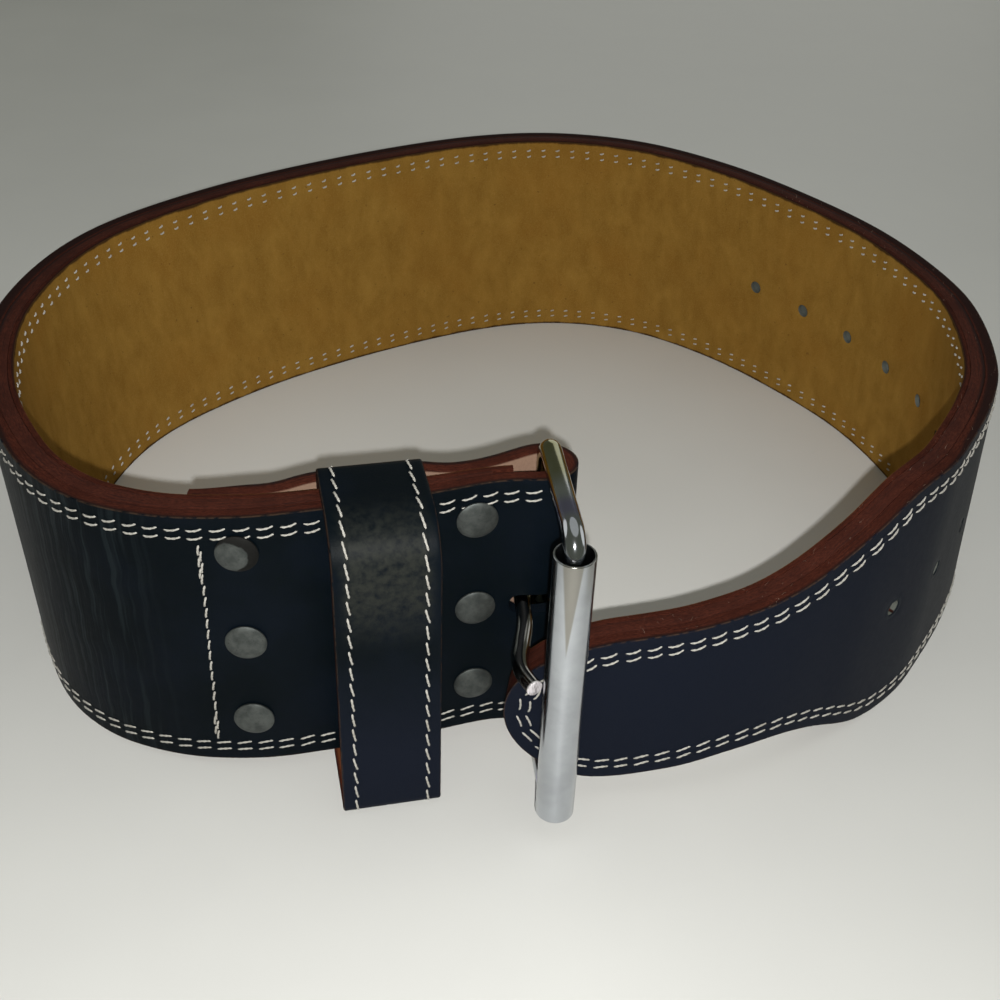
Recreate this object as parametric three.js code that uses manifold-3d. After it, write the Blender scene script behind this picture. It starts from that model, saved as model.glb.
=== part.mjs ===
// A prong-buckle weightlifting belt, standing on its lower edge with the tongue passed through the buckle.
// Millimetres, +Z up, the buckle at the front (-Y), the floor at z = 0.
// While it is built, x = 0, y = 0 is the middle of the fold that holds the buckle.
import * as THREE from 'three';
import { mergeVertices } from 'three/addons/utils/BufferGeometryUtils.js';
import Module from 'manifold-3d';

const wasm = await Module();
wasm.setup();

// Driving dimensions of the leather
const beltWidth = 100;
const loopWidth = 365;
const loopDepth = 320;
const grainThickness = 4.4;
const coreThickness = 4.6;
const coreSkivedThickness = 0.9;
const liningThickness = 2;
const pieceGap = 0.3;
const edgeChamfer = 0.6;
const lean = new THREE.Vector2(-0.08, -0.045);
const leanStart = -0.04;
const leanEnd = 0.3;
const tongueWidth = 58.6;
const tipLength = 38;
const tongueReach = 115;
const tonguePower = 1.8;
const taperStart = 0.68;
const taperEnd = 1.16;
const buckleLift = 7.8;
const flapLength = 111;
const foldInnerRadius = 6;
const flapLeavesFold = 128;
const foldSteps = 10;
const coreStart = 16;
const liningStart = 10;
const skiveEnd = 99;
const frameSpacing = 3;

// Driving dimensions of the holes and rivets
const holeDiameter = 5.9;
const holePitch = 29.6;
const holeCount = 10;
const firstHoleFromTip = 139;
const rivetCapDiameter = 13;
const rivetCapHeight = 1.7;
const rivetHeadDiameter = 10;
const rivetHeadHeight = 1.2;
const rivetShankDiameter = 4.4;
const rivetSeatGap = 0.5;
const leftRivetsFromFold = 93.5;
const rightRivetsFromFold = 21.5;
const rivetHeights = [0.19, 0.52, 0.87];
const boreSides = 10;

// Driving dimensions of the keeper
const keeperThickness = 3.6;
const keeperWidth = 31.5;
const keeperFromFold = 52.5;
const keeperDepth = 39.5;
const keeperHeight = 112;
const keeperTopRadius = 16;
const keeperBackRadius = 5;
const keeperFloorRadius = 7;

// Driving dimensions of the buckle
const wireDiameter = 6.6;
const frameHeight = 119;
const hingeOffset = 2;
const buckleReach = 48.5;
const buckleYaw = 8.5;
const rollerBendRadius = 7.5;
const hingeBendRadius = 5.5;
const rollerDiameter = 12.3;
const rollerWall = 0.7;
const rollerEndGap = 1;
const prongDiameter = 5.2;
const prongHeight = 59;
const prongRunningGap = 0.4;
const slotClearance = 1.2;
const slotReach = 11;

const degrees = Math.PI / 180;
const wireRadius = wireDiameter / 2;
const grainHalf = grainThickness / 2;
const foldRadius = foldInnerRadius + grainHalf;
const tongueTip = -10;
const hingeAxis = new THREE.Vector2(0, -hingeOffset);
const buckleDirection = new THREE.Vector2(Math.sin(buckleYaw * degrees), -Math.cos(buckleYaw * degrees));
const rollerAxis = buckleDirection.clone().multiplyScalar(buckleReach).add(hingeAxis);

// Middle of the grain leather seen from above, from the fold round the loop to the tongue.
// across is a share of the loop's width, deep a share of its depth, rise a share of the buckle's lift.
const loopRows = [
  { across: 0, front: 1, deep: 0, rise: 1 },
  { across: -0.039, deep: -0.0275, rise: 0.93 },
  { across: -0.089, deep: -0.0425, rise: 0.74 },
  { across: -0.143, deep: -0.061, rise: 0.64 },
  { across: -0.197, deep: -0.0775, rise: 0.62 },
  { across: -0.233, deep: -0.0865, rise: 0.58 },
  { across: -0.266, deep: -0.088, rise: 0.48 },
  { across: -0.304, deep: -0.0845, rise: 0.33 },
  { across: -0.341, deep: -0.074, rise: 0.18 },
  { across: -0.383, deep: -0.055, rise: 0.07 },
  { across: -0.425, deep: -0.02, rise: 0 },
  { across: -0.456, deep: 0.022, rise: 0 },
  { across: -0.507, deep: 0.136, rise: 0 },
  { across: -0.534, deep: 0.323, rise: 0 },
  { across: -0.499, deep: 0.502, rise: 0 },
  { across: -0.392, deep: 0.656, rise: 0 },
  { across: -0.214, deep: 0.809, rise: 0 },
  { across: -0.068, deep: 0.893, rise: 0 },
  { across: 0.033, deep: 0.914, rise: 0 },
  { across: 0.14, deep: 0.892, rise: 0 },
  { across: 0.2425, deep: 0.82, rise: 0 },
  { across: 0.33, deep: 0.72, rise: 0 },
  { across: 0.4055, deep: 0.6, rise: 0 },
  { across: 0.4535, deep: 0.455, rise: 0 },
  { across: 0.46, deep: 0.373, rise: 0 },
  { across: 0.4475, deep: 0.255, rise: 0 },
  { across: 0.4215, deep: 0.1825, rise: 0 },
  { across: 0.382, deep: 0.105, rise: 0 },
  { across: 0.356, deep: 0.0615, rise: 0 },
];

// The tongue, from the belt's full width to the tip.
// out is a share of the tongue's reach from its tip, front a share of the buckle's reach, fall a share of the
// tongue's width.
const tongueRows = [
  { out: 1, front: 0.075, fall: 0.01 },
  { out: 0.912, front: 0.212, fall: 0.03 },
  { out: 0.81, front: 0.361, fall: 0.055 },
  { out: 0.707, front: 0.482, fall: 0.085 },
  { out: 0.602, front: 0.572, fall: 0.115 },
  { out: 0.501, front: 0.645, fall: 0.145 },
  { out: 0.3965, front: 0.686, fall: 0.175 },
  { out: 0.294, front: 0.718, fall: 0.2 },
  { out: 0.2105, front: 0.742, fall: 0.225 },
  { out: 0.1, front: 0.735, fall: 0.258 },
  { out: 0, front: 0.71, fall: 0.295 },
];

// Distance along the flap, from the fold to its end, and the space between it and the lining.
// slack is added to the piece gap, strap counts the keeper straps that pass through.
const flapRows = [
  { back: 0.15, slack: 0.5, strap: 0 },
  { back: 0.25, slack: 0.5, strap: 0 },
  { back: 0.29, slack: 0.9, strap: 0.35 },
  { back: 0.333, slack: 0.9, strap: 1 },
  { back: 0.48, slack: 1.1, strap: 1 },
  { back: 0.63, slack: 0.9, strap: 1 },
  { back: 0.675, slack: 0.6, strap: 0.6 },
  { back: 0.72, slack: 0.4, strap: 0.12 },
  { back: 0.76, slack: 0.35, strap: 0 },
  { back: 0.84, slack: 0.35, strap: 0 },
  { back: 0.92, slack: 0.35, strap: 0 },
  { back: 1, slack: 0.4, strap: 0 },
];

// The prong's shank: reach is a share of the buckle's reach, aside to its right, fall below the eye.
const shankRows = [
  { reach: 0.18, aside: -0.11, fall: 0.006 },
  { reach: 0.35, aside: -0.095, fall: 0.025 },
  { reach: 0.52, aside: -0.11, fall: 0.055 },
  { reach: 0.64, aside: -0.12, fall: 0.06 },
  { reach: 0.76, aside: -0.105, fall: 0.062 },
  { reach: 0.905, aside: -0.025, fall: 0.063 },
];

const up = new THREE.Vector3(0, 0, 1);
const clamp = THREE.MathUtils.clamp;
const fade = THREE.MathUtils.smoothstep;

// Finish of each kind of surface
const finishes = {
  grain: { color: 0x121a26, roughness: 0.55, metalness: 0 },
  core: { color: 0x5a3024, roughness: 0.85, metalness: 0 },
  suede: { color: 0x87652c, roughness: 0.95, metalness: 0 },
  chrome: { color: 0xc4c6cc, roughness: 0.18, metalness: 1 },
  pewter: { color: 0x7d827c, roughness: 0.45, metalness: 0.9 },
};

// The curve of the belt's middle height, from the fold to the tip of the tongue
function beltCurve() {
  const points = loopRows.map((row) => new THREE.Vector3(
    row.across * loopWidth,
    row.front ? -foldRadius : row.deep * loopDepth,
    beltWidth / 2 + row.rise * buckleLift,
  ));
  for (const row of tongueRows) {
    points.push(new THREE.Vector3(
      tongueTip + row.out * tongueReach,
      -row.front * buckleReach,
      beltWidth / 2 - row.fall * tongueWidth,
    ));
  }
  return new THREE.CatmullRomCurve3(points, false, 'centripetal');
}

// A cross frame of the leather: where it is, its way along, out of the loop and up its own face.
// The loop's sections stand upright, and the tongue's lie square to its sloping way.
function frameOn(curve, share, length, isBelt = false) {
  const point = curve.getPointAt(share);
  const along = curve.getTangentAt(share);
  const out = new THREE.Vector3().crossVectors(up, along).normalize();
  const square = new THREE.Vector3().crossVectors(along, out);
  const slope = isBelt ? 1 - fade((1 - share) * length, tongueReach * taperStart, tongueReach * taperEnd) : 0;
  const rise = up.clone().lerp(square, slope);
  if (isBelt && slope === 0) {
    point.z = Math.max(point.z, beltWidth / 2);
  }
  return { point, along, out, rise, run: share * length };
}

// Frames along a curve, closer together where it bends more
function framesAlong(curve, { turn, longest, isBelt = false, samples = 900 }) {
  const length = curve.getLength();
  const frames = [frameOn(curve, 0, length, isBelt)];
  for (let i = 1; i <= samples; i++) {
    const frame = frameOn(curve, i / samples, length, isBelt);
    const last = frames[frames.length - 1];
    const bend = last.along.angleTo(frame.along) / degrees;
    if (bend >= turn || frame.run - last.run >= longest || i === samples) {
      frames.push(frame);
    }
  }
  return frames;
}

const belt = beltCurve();
belt.arcLengthDivisions = 1200;
const beltLength = belt.getLength();
const tipCuts = [0.02, 0.08, 0.18, 0.32, 0.52, 0.75, 1];

// Half the width of the strap at a distance along the belt
function halfWidthAt(run) {
  const fromTip = beltLength - run;
  if (fromTip < tipLength) {
    return tongueWidth / 2 * Math.sqrt(1 - (1 - fromTip / tipLength) ** 2);
  }
  const share = clamp((fromTip / tongueReach - taperStart) / (taperEnd - taperStart), 0, 1);
  return (tongueWidth + (beltWidth - tongueWidth) * share ** tonguePower) / 2;
}

// Thickness of the core, thinner towards the buckle
function coreAt(run) {
  const share = clamp((run - coreStart) / (skiveEnd - coreStart), 0, 1);
  return coreSkivedThickness + (coreThickness - coreSkivedThickness) * share;
}

// Distances from the middle of the grain leather to the faces of each layer, inwards
const coreOuter = -grainHalf - pieceGap;
const coreInner = (run) => coreOuter - coreAt(run);
const liningOuter = (run) => (run < coreStart ? coreOuter - coreSkivedThickness : coreInner(run)) - pieceGap;
const liningInner = (run) => liningOuter(run) - liningThickness;

// A leaning wall: the loop's top edge is shifted sideways, less so at the front
function leaned(position) {
  const share = fade(position.y, loopDepth * leanStart, loopDepth * leanEnd);
  const height = (position.z - beltWidth / 2) * share;
  position.x += lean.x * height;
  position.y += lean.y * height;
  return position;
}

// Section of a strap: x is through the leather, y across it. A face that shows has eased edges, and a face
// that lies on the next layer has extra points across it, so that both follow the same twist.
function strapSection(easedOuter, easedInner) {
  const flat = beltWidth / 2;
  const ease = edgeChamfer;
  const across = (eased) => (eased ? [ease - flat, flat - ease] : [-flat, -flat / 3, flat / 3, flat]);
  const inner = across(easedInner).reverse().map((y) => [0, y]);
  const outer = across(easedOuter).map((y) => [grainThickness, y]);
  const edge = [...(easedInner ? [ease] : []), ...(easedOuter ? [grainThickness - ease] : [])];
  const lower = edge.map((x) => [x, -flat]);
  const upper = edge.toReversed().map((x) => [x, flat]);
  return new THREE.Shape([...inner, ...lower, ...outer, ...upper].map(([x, y]) => new THREE.Vector2(x, y)));
}

// A strap of leather through a row of frames
function strap(frames, { outer, inner, half, easedOuter = false, easedInner = false }) {
  const section = strapSection(easedOuter, easedInner);
  const steps = frames.length - 1;
  const geometry = new THREE.ExtrudeGeometry(section, { depth: steps, steps, bevelEnabled: false });
  const position = geometry.attributes.position;
  for (let i = 0; i < position.count; i++) {
    const frame = frames[Math.round(position.getZ(i))];
    const through = position.getX(i) / grainThickness;
    const offset = inner(frame.run) + (outer(frame.run) - inner(frame.run)) * through;
    const across = position.getY(i) / (beltWidth / 2) * half(frame.run);
    const place = frame.point.clone().addScaledVector(frame.out, offset).addScaledVector(frame.rise, across);
    leaned(place);
    position.setXYZ(i, place.x, place.y, place.z);
  }
  return geometry;
}

// A closed triangle mesh as a manifold solid, and back
function solid(geometry) {
  const bare = geometry.index ? geometry.toNonIndexed() : geometry.clone();
  bare.deleteAttribute('normal');
  bare.deleteAttribute('uv');
  const merged = mergeVertices(bare, 1e-4);
  const result = new wasm.Manifold(new wasm.Mesh({
    numProp: 3,
    vertProperties: new Float32Array(merged.attributes.position.array),
    triVerts: new Uint32Array(merged.index.array),
  }));
  return result.volume() < 0 ? solid(flipped(merged)) : result;
}

function flipped(geometry) {
  const index = geometry.index.array;
  for (let i = 0; i < index.length; i += 3) {
    [index[i], index[i + 1]] = [index[i + 1], index[i]];
  }
  return geometry;
}

function geometryOf(manifold) {
  const mesh = manifold.getMesh();
  const geometry = new THREE.BufferGeometry();
  geometry.setAttribute('position', new THREE.BufferAttribute(mesh.vertProperties, 3));
  geometry.setIndex(new THREE.BufferAttribute(mesh.triVerts, 1));
  return geometry;
}

// A round bar between two points
function barBetween(start, end, radius, sides) {
  const length = start.distanceTo(end);
  const geometry = new THREE.CylinderGeometry(radius, radius, length, sides);
  const turn = new THREE.Quaternion().setFromUnitVectors(
    new THREE.Vector3(0, 1, 0),
    end.clone().sub(start).normalize(),
  );
  geometry.applyQuaternion(turn);
  const middle = start.clone().add(end).multiplyScalar(0.5);
  return geometry.translate(middle.x, middle.y, middle.z);
}

// Frame of the belt at a distance along it
function beltFrame(run) {
  return { ...frameOn(belt, clamp(run / beltLength, 0, 1), beltLength, true), run };
}

// Frames of the belt, which all its layers share, with extra ones where a layer ends or the tongue is rounded
function beltFrames() {
  const needed = [liningStart, coreStart, ...tipCuts.map((cut) => beltLength - cut * tipLength)];
  const clear = (run) => needed.every((other) => Math.abs(other - run) > frameSpacing);
  const apart = (run) => run < beltLength - tipLength && clear(run);
  const frames = framesAlong(belt, { turn: 8, longest: 14, isBelt: true });
  return [...frames.filter((frame) => apart(frame.run)), ...needed.map(beltFrame)].sort((a, b) => a.run - b.run);
}

// The flap lies inside the belt's front, then turns round the fold to meet it
function flapFrames() {
  const points = flapRows.map((row) => {
    const run = row.back * flapLength;
    const frame = beltFrame(run);
    const space = pieceGap + row.slack + row.strap * keeperThickness;
    return frame.point.clone().addScaledVector(frame.out, liningInner(run) - space - grainHalf);
  }).reverse();
  const height = beltFrame(0).point.z;
  for (let i = 0; i <= foldSteps; i++) {
    const turn = (flapLeavesFold - (flapLeavesFold + 90) * i / foldSteps) * degrees;
    points.push(new THREE.Vector3(foldRadius * Math.cos(turn), foldRadius * Math.sin(turn), height));
  }
  const curve = new THREE.CatmullRomCurve3(points, false, 'centripetal');
  return framesAlong(curve, { turn: 14, longest: 13 }).slice(0, -1);
}

const mainFrames = beltFrames();

// Middles of the holes, from the tip back along the belt
function holeRuns() {
  const runs = [];
  for (let i = 0; i < holeCount; i++) {
    runs.push(beltLength - firstHoleFromTip - i * holePitch);
  }
  return runs;
}

// A bore through the whole wall at a distance along the belt and a share of its width
function bore(run, share, radius, outside, inside) {
  const frame = beltFrame(run);
  const across = (share - 0.5) * beltWidth;
  const centre = frame.point.clone().addScaledVector(frame.rise, across);
  leaned(centre);
  const start = centre.clone().addScaledVector(frame.out, outside);
  const end = centre.clone().addScaledVector(frame.out, inside);
  return barBetween(start, end, radius, boreSides);
}

const rivetPlaces = [];
for (const [side, run] of [['left', leftRivetsFromFold], ['right', rightRivetsFromFold]]) {
  rivetHeights.forEach((share, i) => rivetPlaces.push({ name: `rivet_${side}_${i + 1}`, run, share }));
}

function pierced(geometry) {
  let result = solid(geometry);
  const wallReach = 2 * (grainThickness + coreThickness + liningThickness);
  for (const run of holeRuns()) {
    result = result.subtract(solid(bore(run, 0.5, holeDiameter / 2, grainThickness, -wallReach)));
  }
  const bodyRadius = rivetShankDiameter / 2 + rivetSeatGap;
  for (const place of rivetPlaces) {
    result = result.subtract(solid(bore(place.run, place.share, bodyRadius, grainThickness, -wallReach)));
  }
  return result;
}

// The slot in the fold that lets the prong swing: a long hole with round ends
function prongSlot() {
  const half = prongDiameter / 2 + slotClearance;
  const depth = 2 * (foldRadius + grainThickness);
  const block = new THREE.BoxGeometry(slotReach + depth / 2, depth, 2 * half);
  block.translate((depth / 2 - slotReach) / 2, 0, prongHeight);
  const end = new THREE.CylinderGeometry(half, half, depth, 16);
  end.translate(-slotReach, 0, prongHeight);
  return solid(block).add(solid(end));
}

function outerLeather() {
  const frames = [...flapFrames().map((frame) => ({ ...frame, run: 0 })), ...mainFrames];
  const geometry = strap(frames, {
    outer: () => grainHalf, inner: () => -grainHalf, half: halfWidthAt, easedOuter: true,
  });
  return geometryOf(pierced(geometry).subtract(prongSlot()));
}

const framesFrom = (start) => mainFrames.filter((frame) => frame.run >= start);

function coreLeather() {
  const layer = { outer: () => coreOuter, inner: coreInner, half: halfWidthAt };
  return geometryOf(pierced(strap(framesFrom(coreStart), layer)));
}

function suedeLining() {
  const layer = { outer: liningOuter, inner: liningInner, half: halfWidthAt, easedInner: true };
  return geometryOf(pierced(strap(framesFrom(liningStart), layer)));
}

// Points of a closed outline whose corners are quarter circles, listed anticlockwise from the lower left
function roundedOutline(corners, steps) {
  const line = [];
  corners.forEach(({ x, y, radius }, i) => {
    for (let k = 0; k <= steps; k++) {
      const angle = (180 + 90 * i + 90 * k / steps) * degrees;
      line.push(new THREE.Vector2(x + radius * Math.cos(angle), y + radius * Math.sin(angle)));
    }
  });
  return line;
}

// Outline of the keeper in its own plane: x is out of the loop, y is the height
function keeperOutline(inset) {
  const back = keeperBackRadius;
  const foot = keeperFloorRadius;
  const head = keeperTopRadius;
  return roundedOutline([
    { x: back, y: back, radius: back - inset },
    { x: keeperDepth - foot, y: foot, radius: foot - inset },
    { x: keeperDepth - head, y: keeperHeight - head, radius: head - inset },
    { x: back, y: keeperHeight - back, radius: back - inset },
  ], 7);
}

// The keeper's frame: its back strap lies against the lining
function keeperPlace() {
  const frame = beltFrame(keeperFromFold);
  const ends = [-0.5, 0.5].map((side) => {
    const run = keeperFromFold + side * keeperWidth;
    const at = beltFrame(run);
    return at.point.clone().addScaledVector(at.out, liningInner(run));
  });
  const along = ends[1].clone().sub(ends[0]).setZ(0).normalize();
  const out = new THREE.Vector3().crossVectors(up, along);
  const origin = frame.point.clone().addScaledVector(frame.out, liningInner(keeperFromFold));
  const deepest = Math.min(...ends.map((end) => end.clone().sub(origin).dot(out)), 0);
  origin.addScaledVector(out, deepest - pieceGap - keeperThickness).setZ(0);
  return new THREE.Matrix4().makeBasis(out, up, along.clone().negate()).setPosition(origin);
}

function keeperLoop() {
  const outline = new THREE.Shape(keeperOutline(0));
  outline.holes.push(new THREE.Path(keeperOutline(keeperThickness)));
  const geometry = new THREE.ExtrudeGeometry(outline, { depth: keeperWidth, steps: 1, bevelEnabled: false });
  geometry.translate(0, 0, -keeperWidth / 2);
  geometry.applyMatrix4(keeperPlace());
  return geometryOf(solid(geometry));
}

// Middle line of the wire frame in its own plane: x is the reach from the hinge bar, y the height
function frameLine() {
  const low = wireRadius;
  const high = frameHeight - wireRadius;
  const near = hingeBendRadius;
  const far = rollerBendRadius;
  return roundedOutline([
    { x: near, y: low + near, radius: near },
    { x: buckleReach - far, y: low + far, radius: far },
    { x: buckleReach - far, y: high - far, radius: far },
    { x: near, y: high - near, radius: near },
  ], 5);
}

// A ring of round wire: the tube of a torus laid along the closed line
function wireFrame() {
  const line = frameLine();
  const sides = 12;
  const ring = new THREE.TorusGeometry(1, 0.5, sides, line.length);
  const position = ring.attributes.position;
  const side = new THREE.Vector2(-buckleDirection.y, buckleDirection.x);
  for (let i = 0; i < position.count; i++) {
    const around = Math.floor(i / (line.length + 1)) / sides * 2 * Math.PI;
    const here = i % (line.length + 1) % line.length;
    const before = line[(here + line.length - 1) % line.length];
    const after = line[(here + 1) % line.length];
    const way = after.clone().sub(before).normalize();
    const reach = line[here].x + wireRadius * Math.cos(around) * way.y;
    const height = line[here].y - wireRadius * Math.cos(around) * way.x;
    const aside = wireRadius * Math.sin(around);
    position.setXYZ(
      i,
      hingeAxis.x + buckleDirection.x * reach + side.x * aside,
      hingeAxis.y + buckleDirection.y * reach + side.y * aside,
      height,
    );
  }
  return geometryOf(solid(ring));
}

// The roller is a tube with eased rims
function rollerTube() {
  const outer = rollerDiameter / 2;
  const inner = outer - rollerWall;
  const low = wireDiameter + rollerEndGap;
  const high = frameHeight - wireDiameter - rollerEndGap;
  const ease = rollerWall / 3;
  const profile = [
    [inner, low], [outer - ease, low], [outer, low + ease],
    [outer, high - ease], [outer - ease, high], [inner, high], [inner, low],
  ].map(([x, y]) => new THREE.Vector2(x, y));
  const tube = new THREE.LatheGeometry(profile, 24);
  tube.rotateX(Math.PI / 2);
  tube.translate(rollerAxis.x, rollerAxis.y, 0);
  return geometryOf(solid(tube));
}

// The prong's wire: an open eye round the hinge bar, then a shank that bows past the tongue
function prongPath() {
  const eye = wireRadius + prongRunningGap + prongDiameter / 2;
  const points = [];
  for (let angle = -40; angle <= 198; angle += 34) {
    const turn = angle * degrees;
    const place = hingeAxis.clone().add(new THREE.Vector2(eye * Math.cos(turn), eye * Math.sin(turn)));
    points.push(new THREE.Vector3(place.x, place.y, prongHeight));
  }
  for (const row of shankRows) {
    points.push(new THREE.Vector3(
      hingeAxis.x + row.aside * buckleReach,
      hingeAxis.y - row.reach * buckleReach,
      prongHeight - row.fall * buckleReach,
    ));
  }
  return new THREE.CatmullRomCurve3(points, false, 'centripetal');
}

function prong() {
  const section = new THREE.Shape();
  section.absarc(0, 0, prongDiameter / 2, 0, 2 * Math.PI);
  const geometry = new THREE.ExtrudeGeometry(section, {
    extrudePath: prongPath(), steps: 34, curveSegments: 5, bevelEnabled: false,
  });
  return geometryOf(solid(geometry));
}

// A rivet: domed cap outside, shank through every layer, flat head on the inside of the flap
function rivet(place) {
  const stack = flapInnerFace(place.run);
  const cap = rivetCapDiameter / 2;
  const shank = rivetShankDiameter / 2;
  const head = rivetHeadDiameter / 2;
  const face = grainHalf + rivetSeatGap;
  const far = -stack - rivetSeatGap;
  const profile = [
    [0, far - rivetHeadHeight],
    [head * 0.8, far - rivetHeadHeight],
    [head, far - rivetHeadHeight / 2],
    [head, far],
    [shank, far],
    [shank, face],
    [cap, face],
    [cap, face + rivetCapHeight * 0.35],
    [cap * 0.82, face + rivetCapHeight * 0.75],
    [cap * 0.45, face + rivetCapHeight * 0.97],
    [0, face + rivetCapHeight],
  ].map(([x, y]) => new THREE.Vector2(x, y));
  const shape = new THREE.LatheGeometry(profile, 12);
  const frame = beltFrame(place.run);
  shape.applyQuaternion(new THREE.Quaternion().setFromUnitVectors(new THREE.Vector3(0, 1, 0), frame.out));
  const across = (place.share - 0.5) * beltWidth;
  const centre = frame.point.clone().addScaledVector(frame.rise, across);
  shape.translate(centre.x, centre.y, centre.z);
  return geometryOf(solid(shape));
}

// Distance from the middle of the grain leather to the far face of the flap
function flapInnerFace(run) {
  const back = run / flapLength;
  const after = Math.max(1, flapRows.findIndex((row) => row.back >= back));
  const [a, b] = [flapRows[after - 1], flapRows[after]];
  const share = clamp((back - a.back) / (b.back - a.back), 0, 1);
  const slack = a.slack + (b.slack - a.slack) * share;
  const strapShare = a.strap + (b.strap - a.strap) * share;
  return -liningInner(run) + pieceGap + slack + strapShare * keeperThickness + grainThickness;
}

function piece(name, geometry, finish) {
  const mesh = new THREE.Mesh(geometry, new THREE.MeshStandardMaterial(finishes[finish]));
  mesh.name = name;
  return mesh;
}

const object = new THREE.Group();
object.add(piece('outer_leather', outerLeather(), 'grain'));
object.add(piece('core_leather', coreLeather(), 'core'));
object.add(piece('suede_lining', suedeLining(), 'suede'));
object.add(piece('keeper_loop', keeperLoop(), 'grain'));
object.add(piece('buckle_frame', wireFrame(), 'chrome'));
object.add(piece('roller', rollerTube(), 'chrome'));
object.add(piece('prong', prong(), 'chrome'));
for (const place of rivetPlaces) {
  object.add(piece(place.name, rivet(place), 'pewter'));
}

// The origin is the middle of the box's foot
const box = new THREE.Box3().setFromObject(object);
const foot = box.getCenter(new THREE.Vector3()).setZ(box.min.z);
object.position.sub(foot);

export default object;
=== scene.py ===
import math
import bpy
import numpy as np
from mathutils import Matrix, Vector


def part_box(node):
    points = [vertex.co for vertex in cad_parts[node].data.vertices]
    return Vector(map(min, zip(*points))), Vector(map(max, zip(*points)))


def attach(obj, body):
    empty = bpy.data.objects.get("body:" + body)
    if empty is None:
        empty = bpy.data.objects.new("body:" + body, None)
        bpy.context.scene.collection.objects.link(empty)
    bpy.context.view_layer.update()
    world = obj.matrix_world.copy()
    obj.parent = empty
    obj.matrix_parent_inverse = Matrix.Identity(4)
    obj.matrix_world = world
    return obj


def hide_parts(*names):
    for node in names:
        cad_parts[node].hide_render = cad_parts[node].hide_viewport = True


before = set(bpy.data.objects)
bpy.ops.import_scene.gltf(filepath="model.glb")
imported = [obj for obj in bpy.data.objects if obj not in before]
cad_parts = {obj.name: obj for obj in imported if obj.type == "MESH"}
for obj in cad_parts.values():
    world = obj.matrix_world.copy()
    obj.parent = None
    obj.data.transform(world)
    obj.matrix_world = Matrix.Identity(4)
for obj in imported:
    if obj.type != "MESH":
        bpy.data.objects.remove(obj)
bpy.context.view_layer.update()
mm = 0.001
degree = math.pi / 180
up = np.array([0.0, 0.0, 1.0])


# sizes of the leather and the way it bends round, which every piece of it follows
belt = {
    "width": 100 * mm, "loopWidth": 365 * mm, "loopDepth": 320 * mm, "lift": 7.8 * mm,
    "grain": 4.4 * mm, "core": 4.6 * mm, "coreSkived": 0.9 * mm, "lining": 2 * mm, "gap": 0.3 * mm,
    "lean": (-0.08, -0.045), "leanStart": -0.04, "leanEnd": 0.3,
    "tongueWidth": 58.6 * mm, "tipLength": 38 * mm, "tongueReach": 115 * mm, "tonguePower": 1.8,
    "taperStart": 0.68, "taperEnd": 1.16, "taperEvened": 9, "taperTable": 300 * mm, "tongueTip": -10 * mm,
    "flapLength": 111 * mm, "foldRadius": 8.2 * mm, "flapLeavesFold": 128, "foldSteps": 16,
    "coreStart": 16 * mm, "liningStart": 10 * mm, "skiveEnd": 99 * mm,
}
buckle = {
    "reach": 48.5 * mm, "hingeOffset": 2 * mm, "yaw": 8.5 * degree, "wire": 6.6 * mm, "height": 119 * mm,
    "rollerBend": 7.5 * mm, "hingeBend": 5.5 * mm, "bendSteps": 16,
}
# across, deep, rise: shares of the loop's width, its depth and the buckle's lift
loopRows = [
    (-0.039, -0.0275, 0.93), (-0.089, -0.0425, 0.74), (-0.143, -0.061, 0.64), (-0.197, -0.0775, 0.62),
    (-0.233, -0.0865, 0.58), (-0.266, -0.088, 0.48), (-0.304, -0.0845, 0.33), (-0.341, -0.074, 0.18),
    (-0.383, -0.055, 0.07), (-0.425, -0.02, 0), (-0.456, 0.022, 0), (-0.507, 0.136, 0), (-0.534, 0.323, 0),
    (-0.499, 0.502, 0), (-0.392, 0.656, 0), (-0.214, 0.809, 0), (-0.068, 0.893, 0), (0.033, 0.914, 0),
    (0.14, 0.892, 0), (0.2425, 0.82, 0), (0.33, 0.72, 0), (0.4055, 0.6, 0), (0.4535, 0.455, 0),
    (0.46, 0.373, 0), (0.4475, 0.255, 0), (0.4215, 0.1825, 0), (0.382, 0.105, 0), (0.356, 0.0615, 0),
]
# out, front, fall: shares of the tongue's reach, the buckle's reach and the tongue's width
tongueRows = [
    (1, 0.075, 0.01), (0.912, 0.212, 0.03), (0.81, 0.361, 0.055), (0.707, 0.482, 0.085),
    (0.602, 0.572, 0.115), (0.501, 0.645, 0.145), (0.3965, 0.686, 0.175), (0.294, 0.718, 0.2),
    (0.2105, 0.742, 0.225), (0.1, 0.735, 0.258), (0, 0.71, 0.295),
]
# back, slack, strap: share of the flap's length, space to the lining in mm, keeper straps in between
flapRows = [
    (0.15, 0.5, 0), (0.25, 0.5, 0), (0.29, 0.9, 0.35), (0.333, 0.9, 1), (0.48, 1.1, 1), (0.63, 0.9, 1),
    (0.675, 0.6, 0.6), (0.72, 0.4, 0.12), (0.76, 0.35, 0), (0.84, 0.35, 0), (0.92, 0.35, 0), (1, 0.4, 0),
]
keeper = {
    "thickness": 3.6 * mm, "width": 31.5 * mm, "fromFold": 52.5 * mm, "depth": 39.5 * mm, "height": 112 * mm,
    "topRadius": 16 * mm, "backRadius": 5 * mm, "footRadius": 4.2 * mm,
}

hingeAxis = np.array([0, -buckle["hingeOffset"], 0])
buckleWay = np.array([math.sin(buckle["yaw"]), -math.cos(buckle["yaw"]), 0])
rollerAxis = hingeAxis + buckleWay * buckle["reach"]
rollerLow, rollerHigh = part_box("roller")
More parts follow.
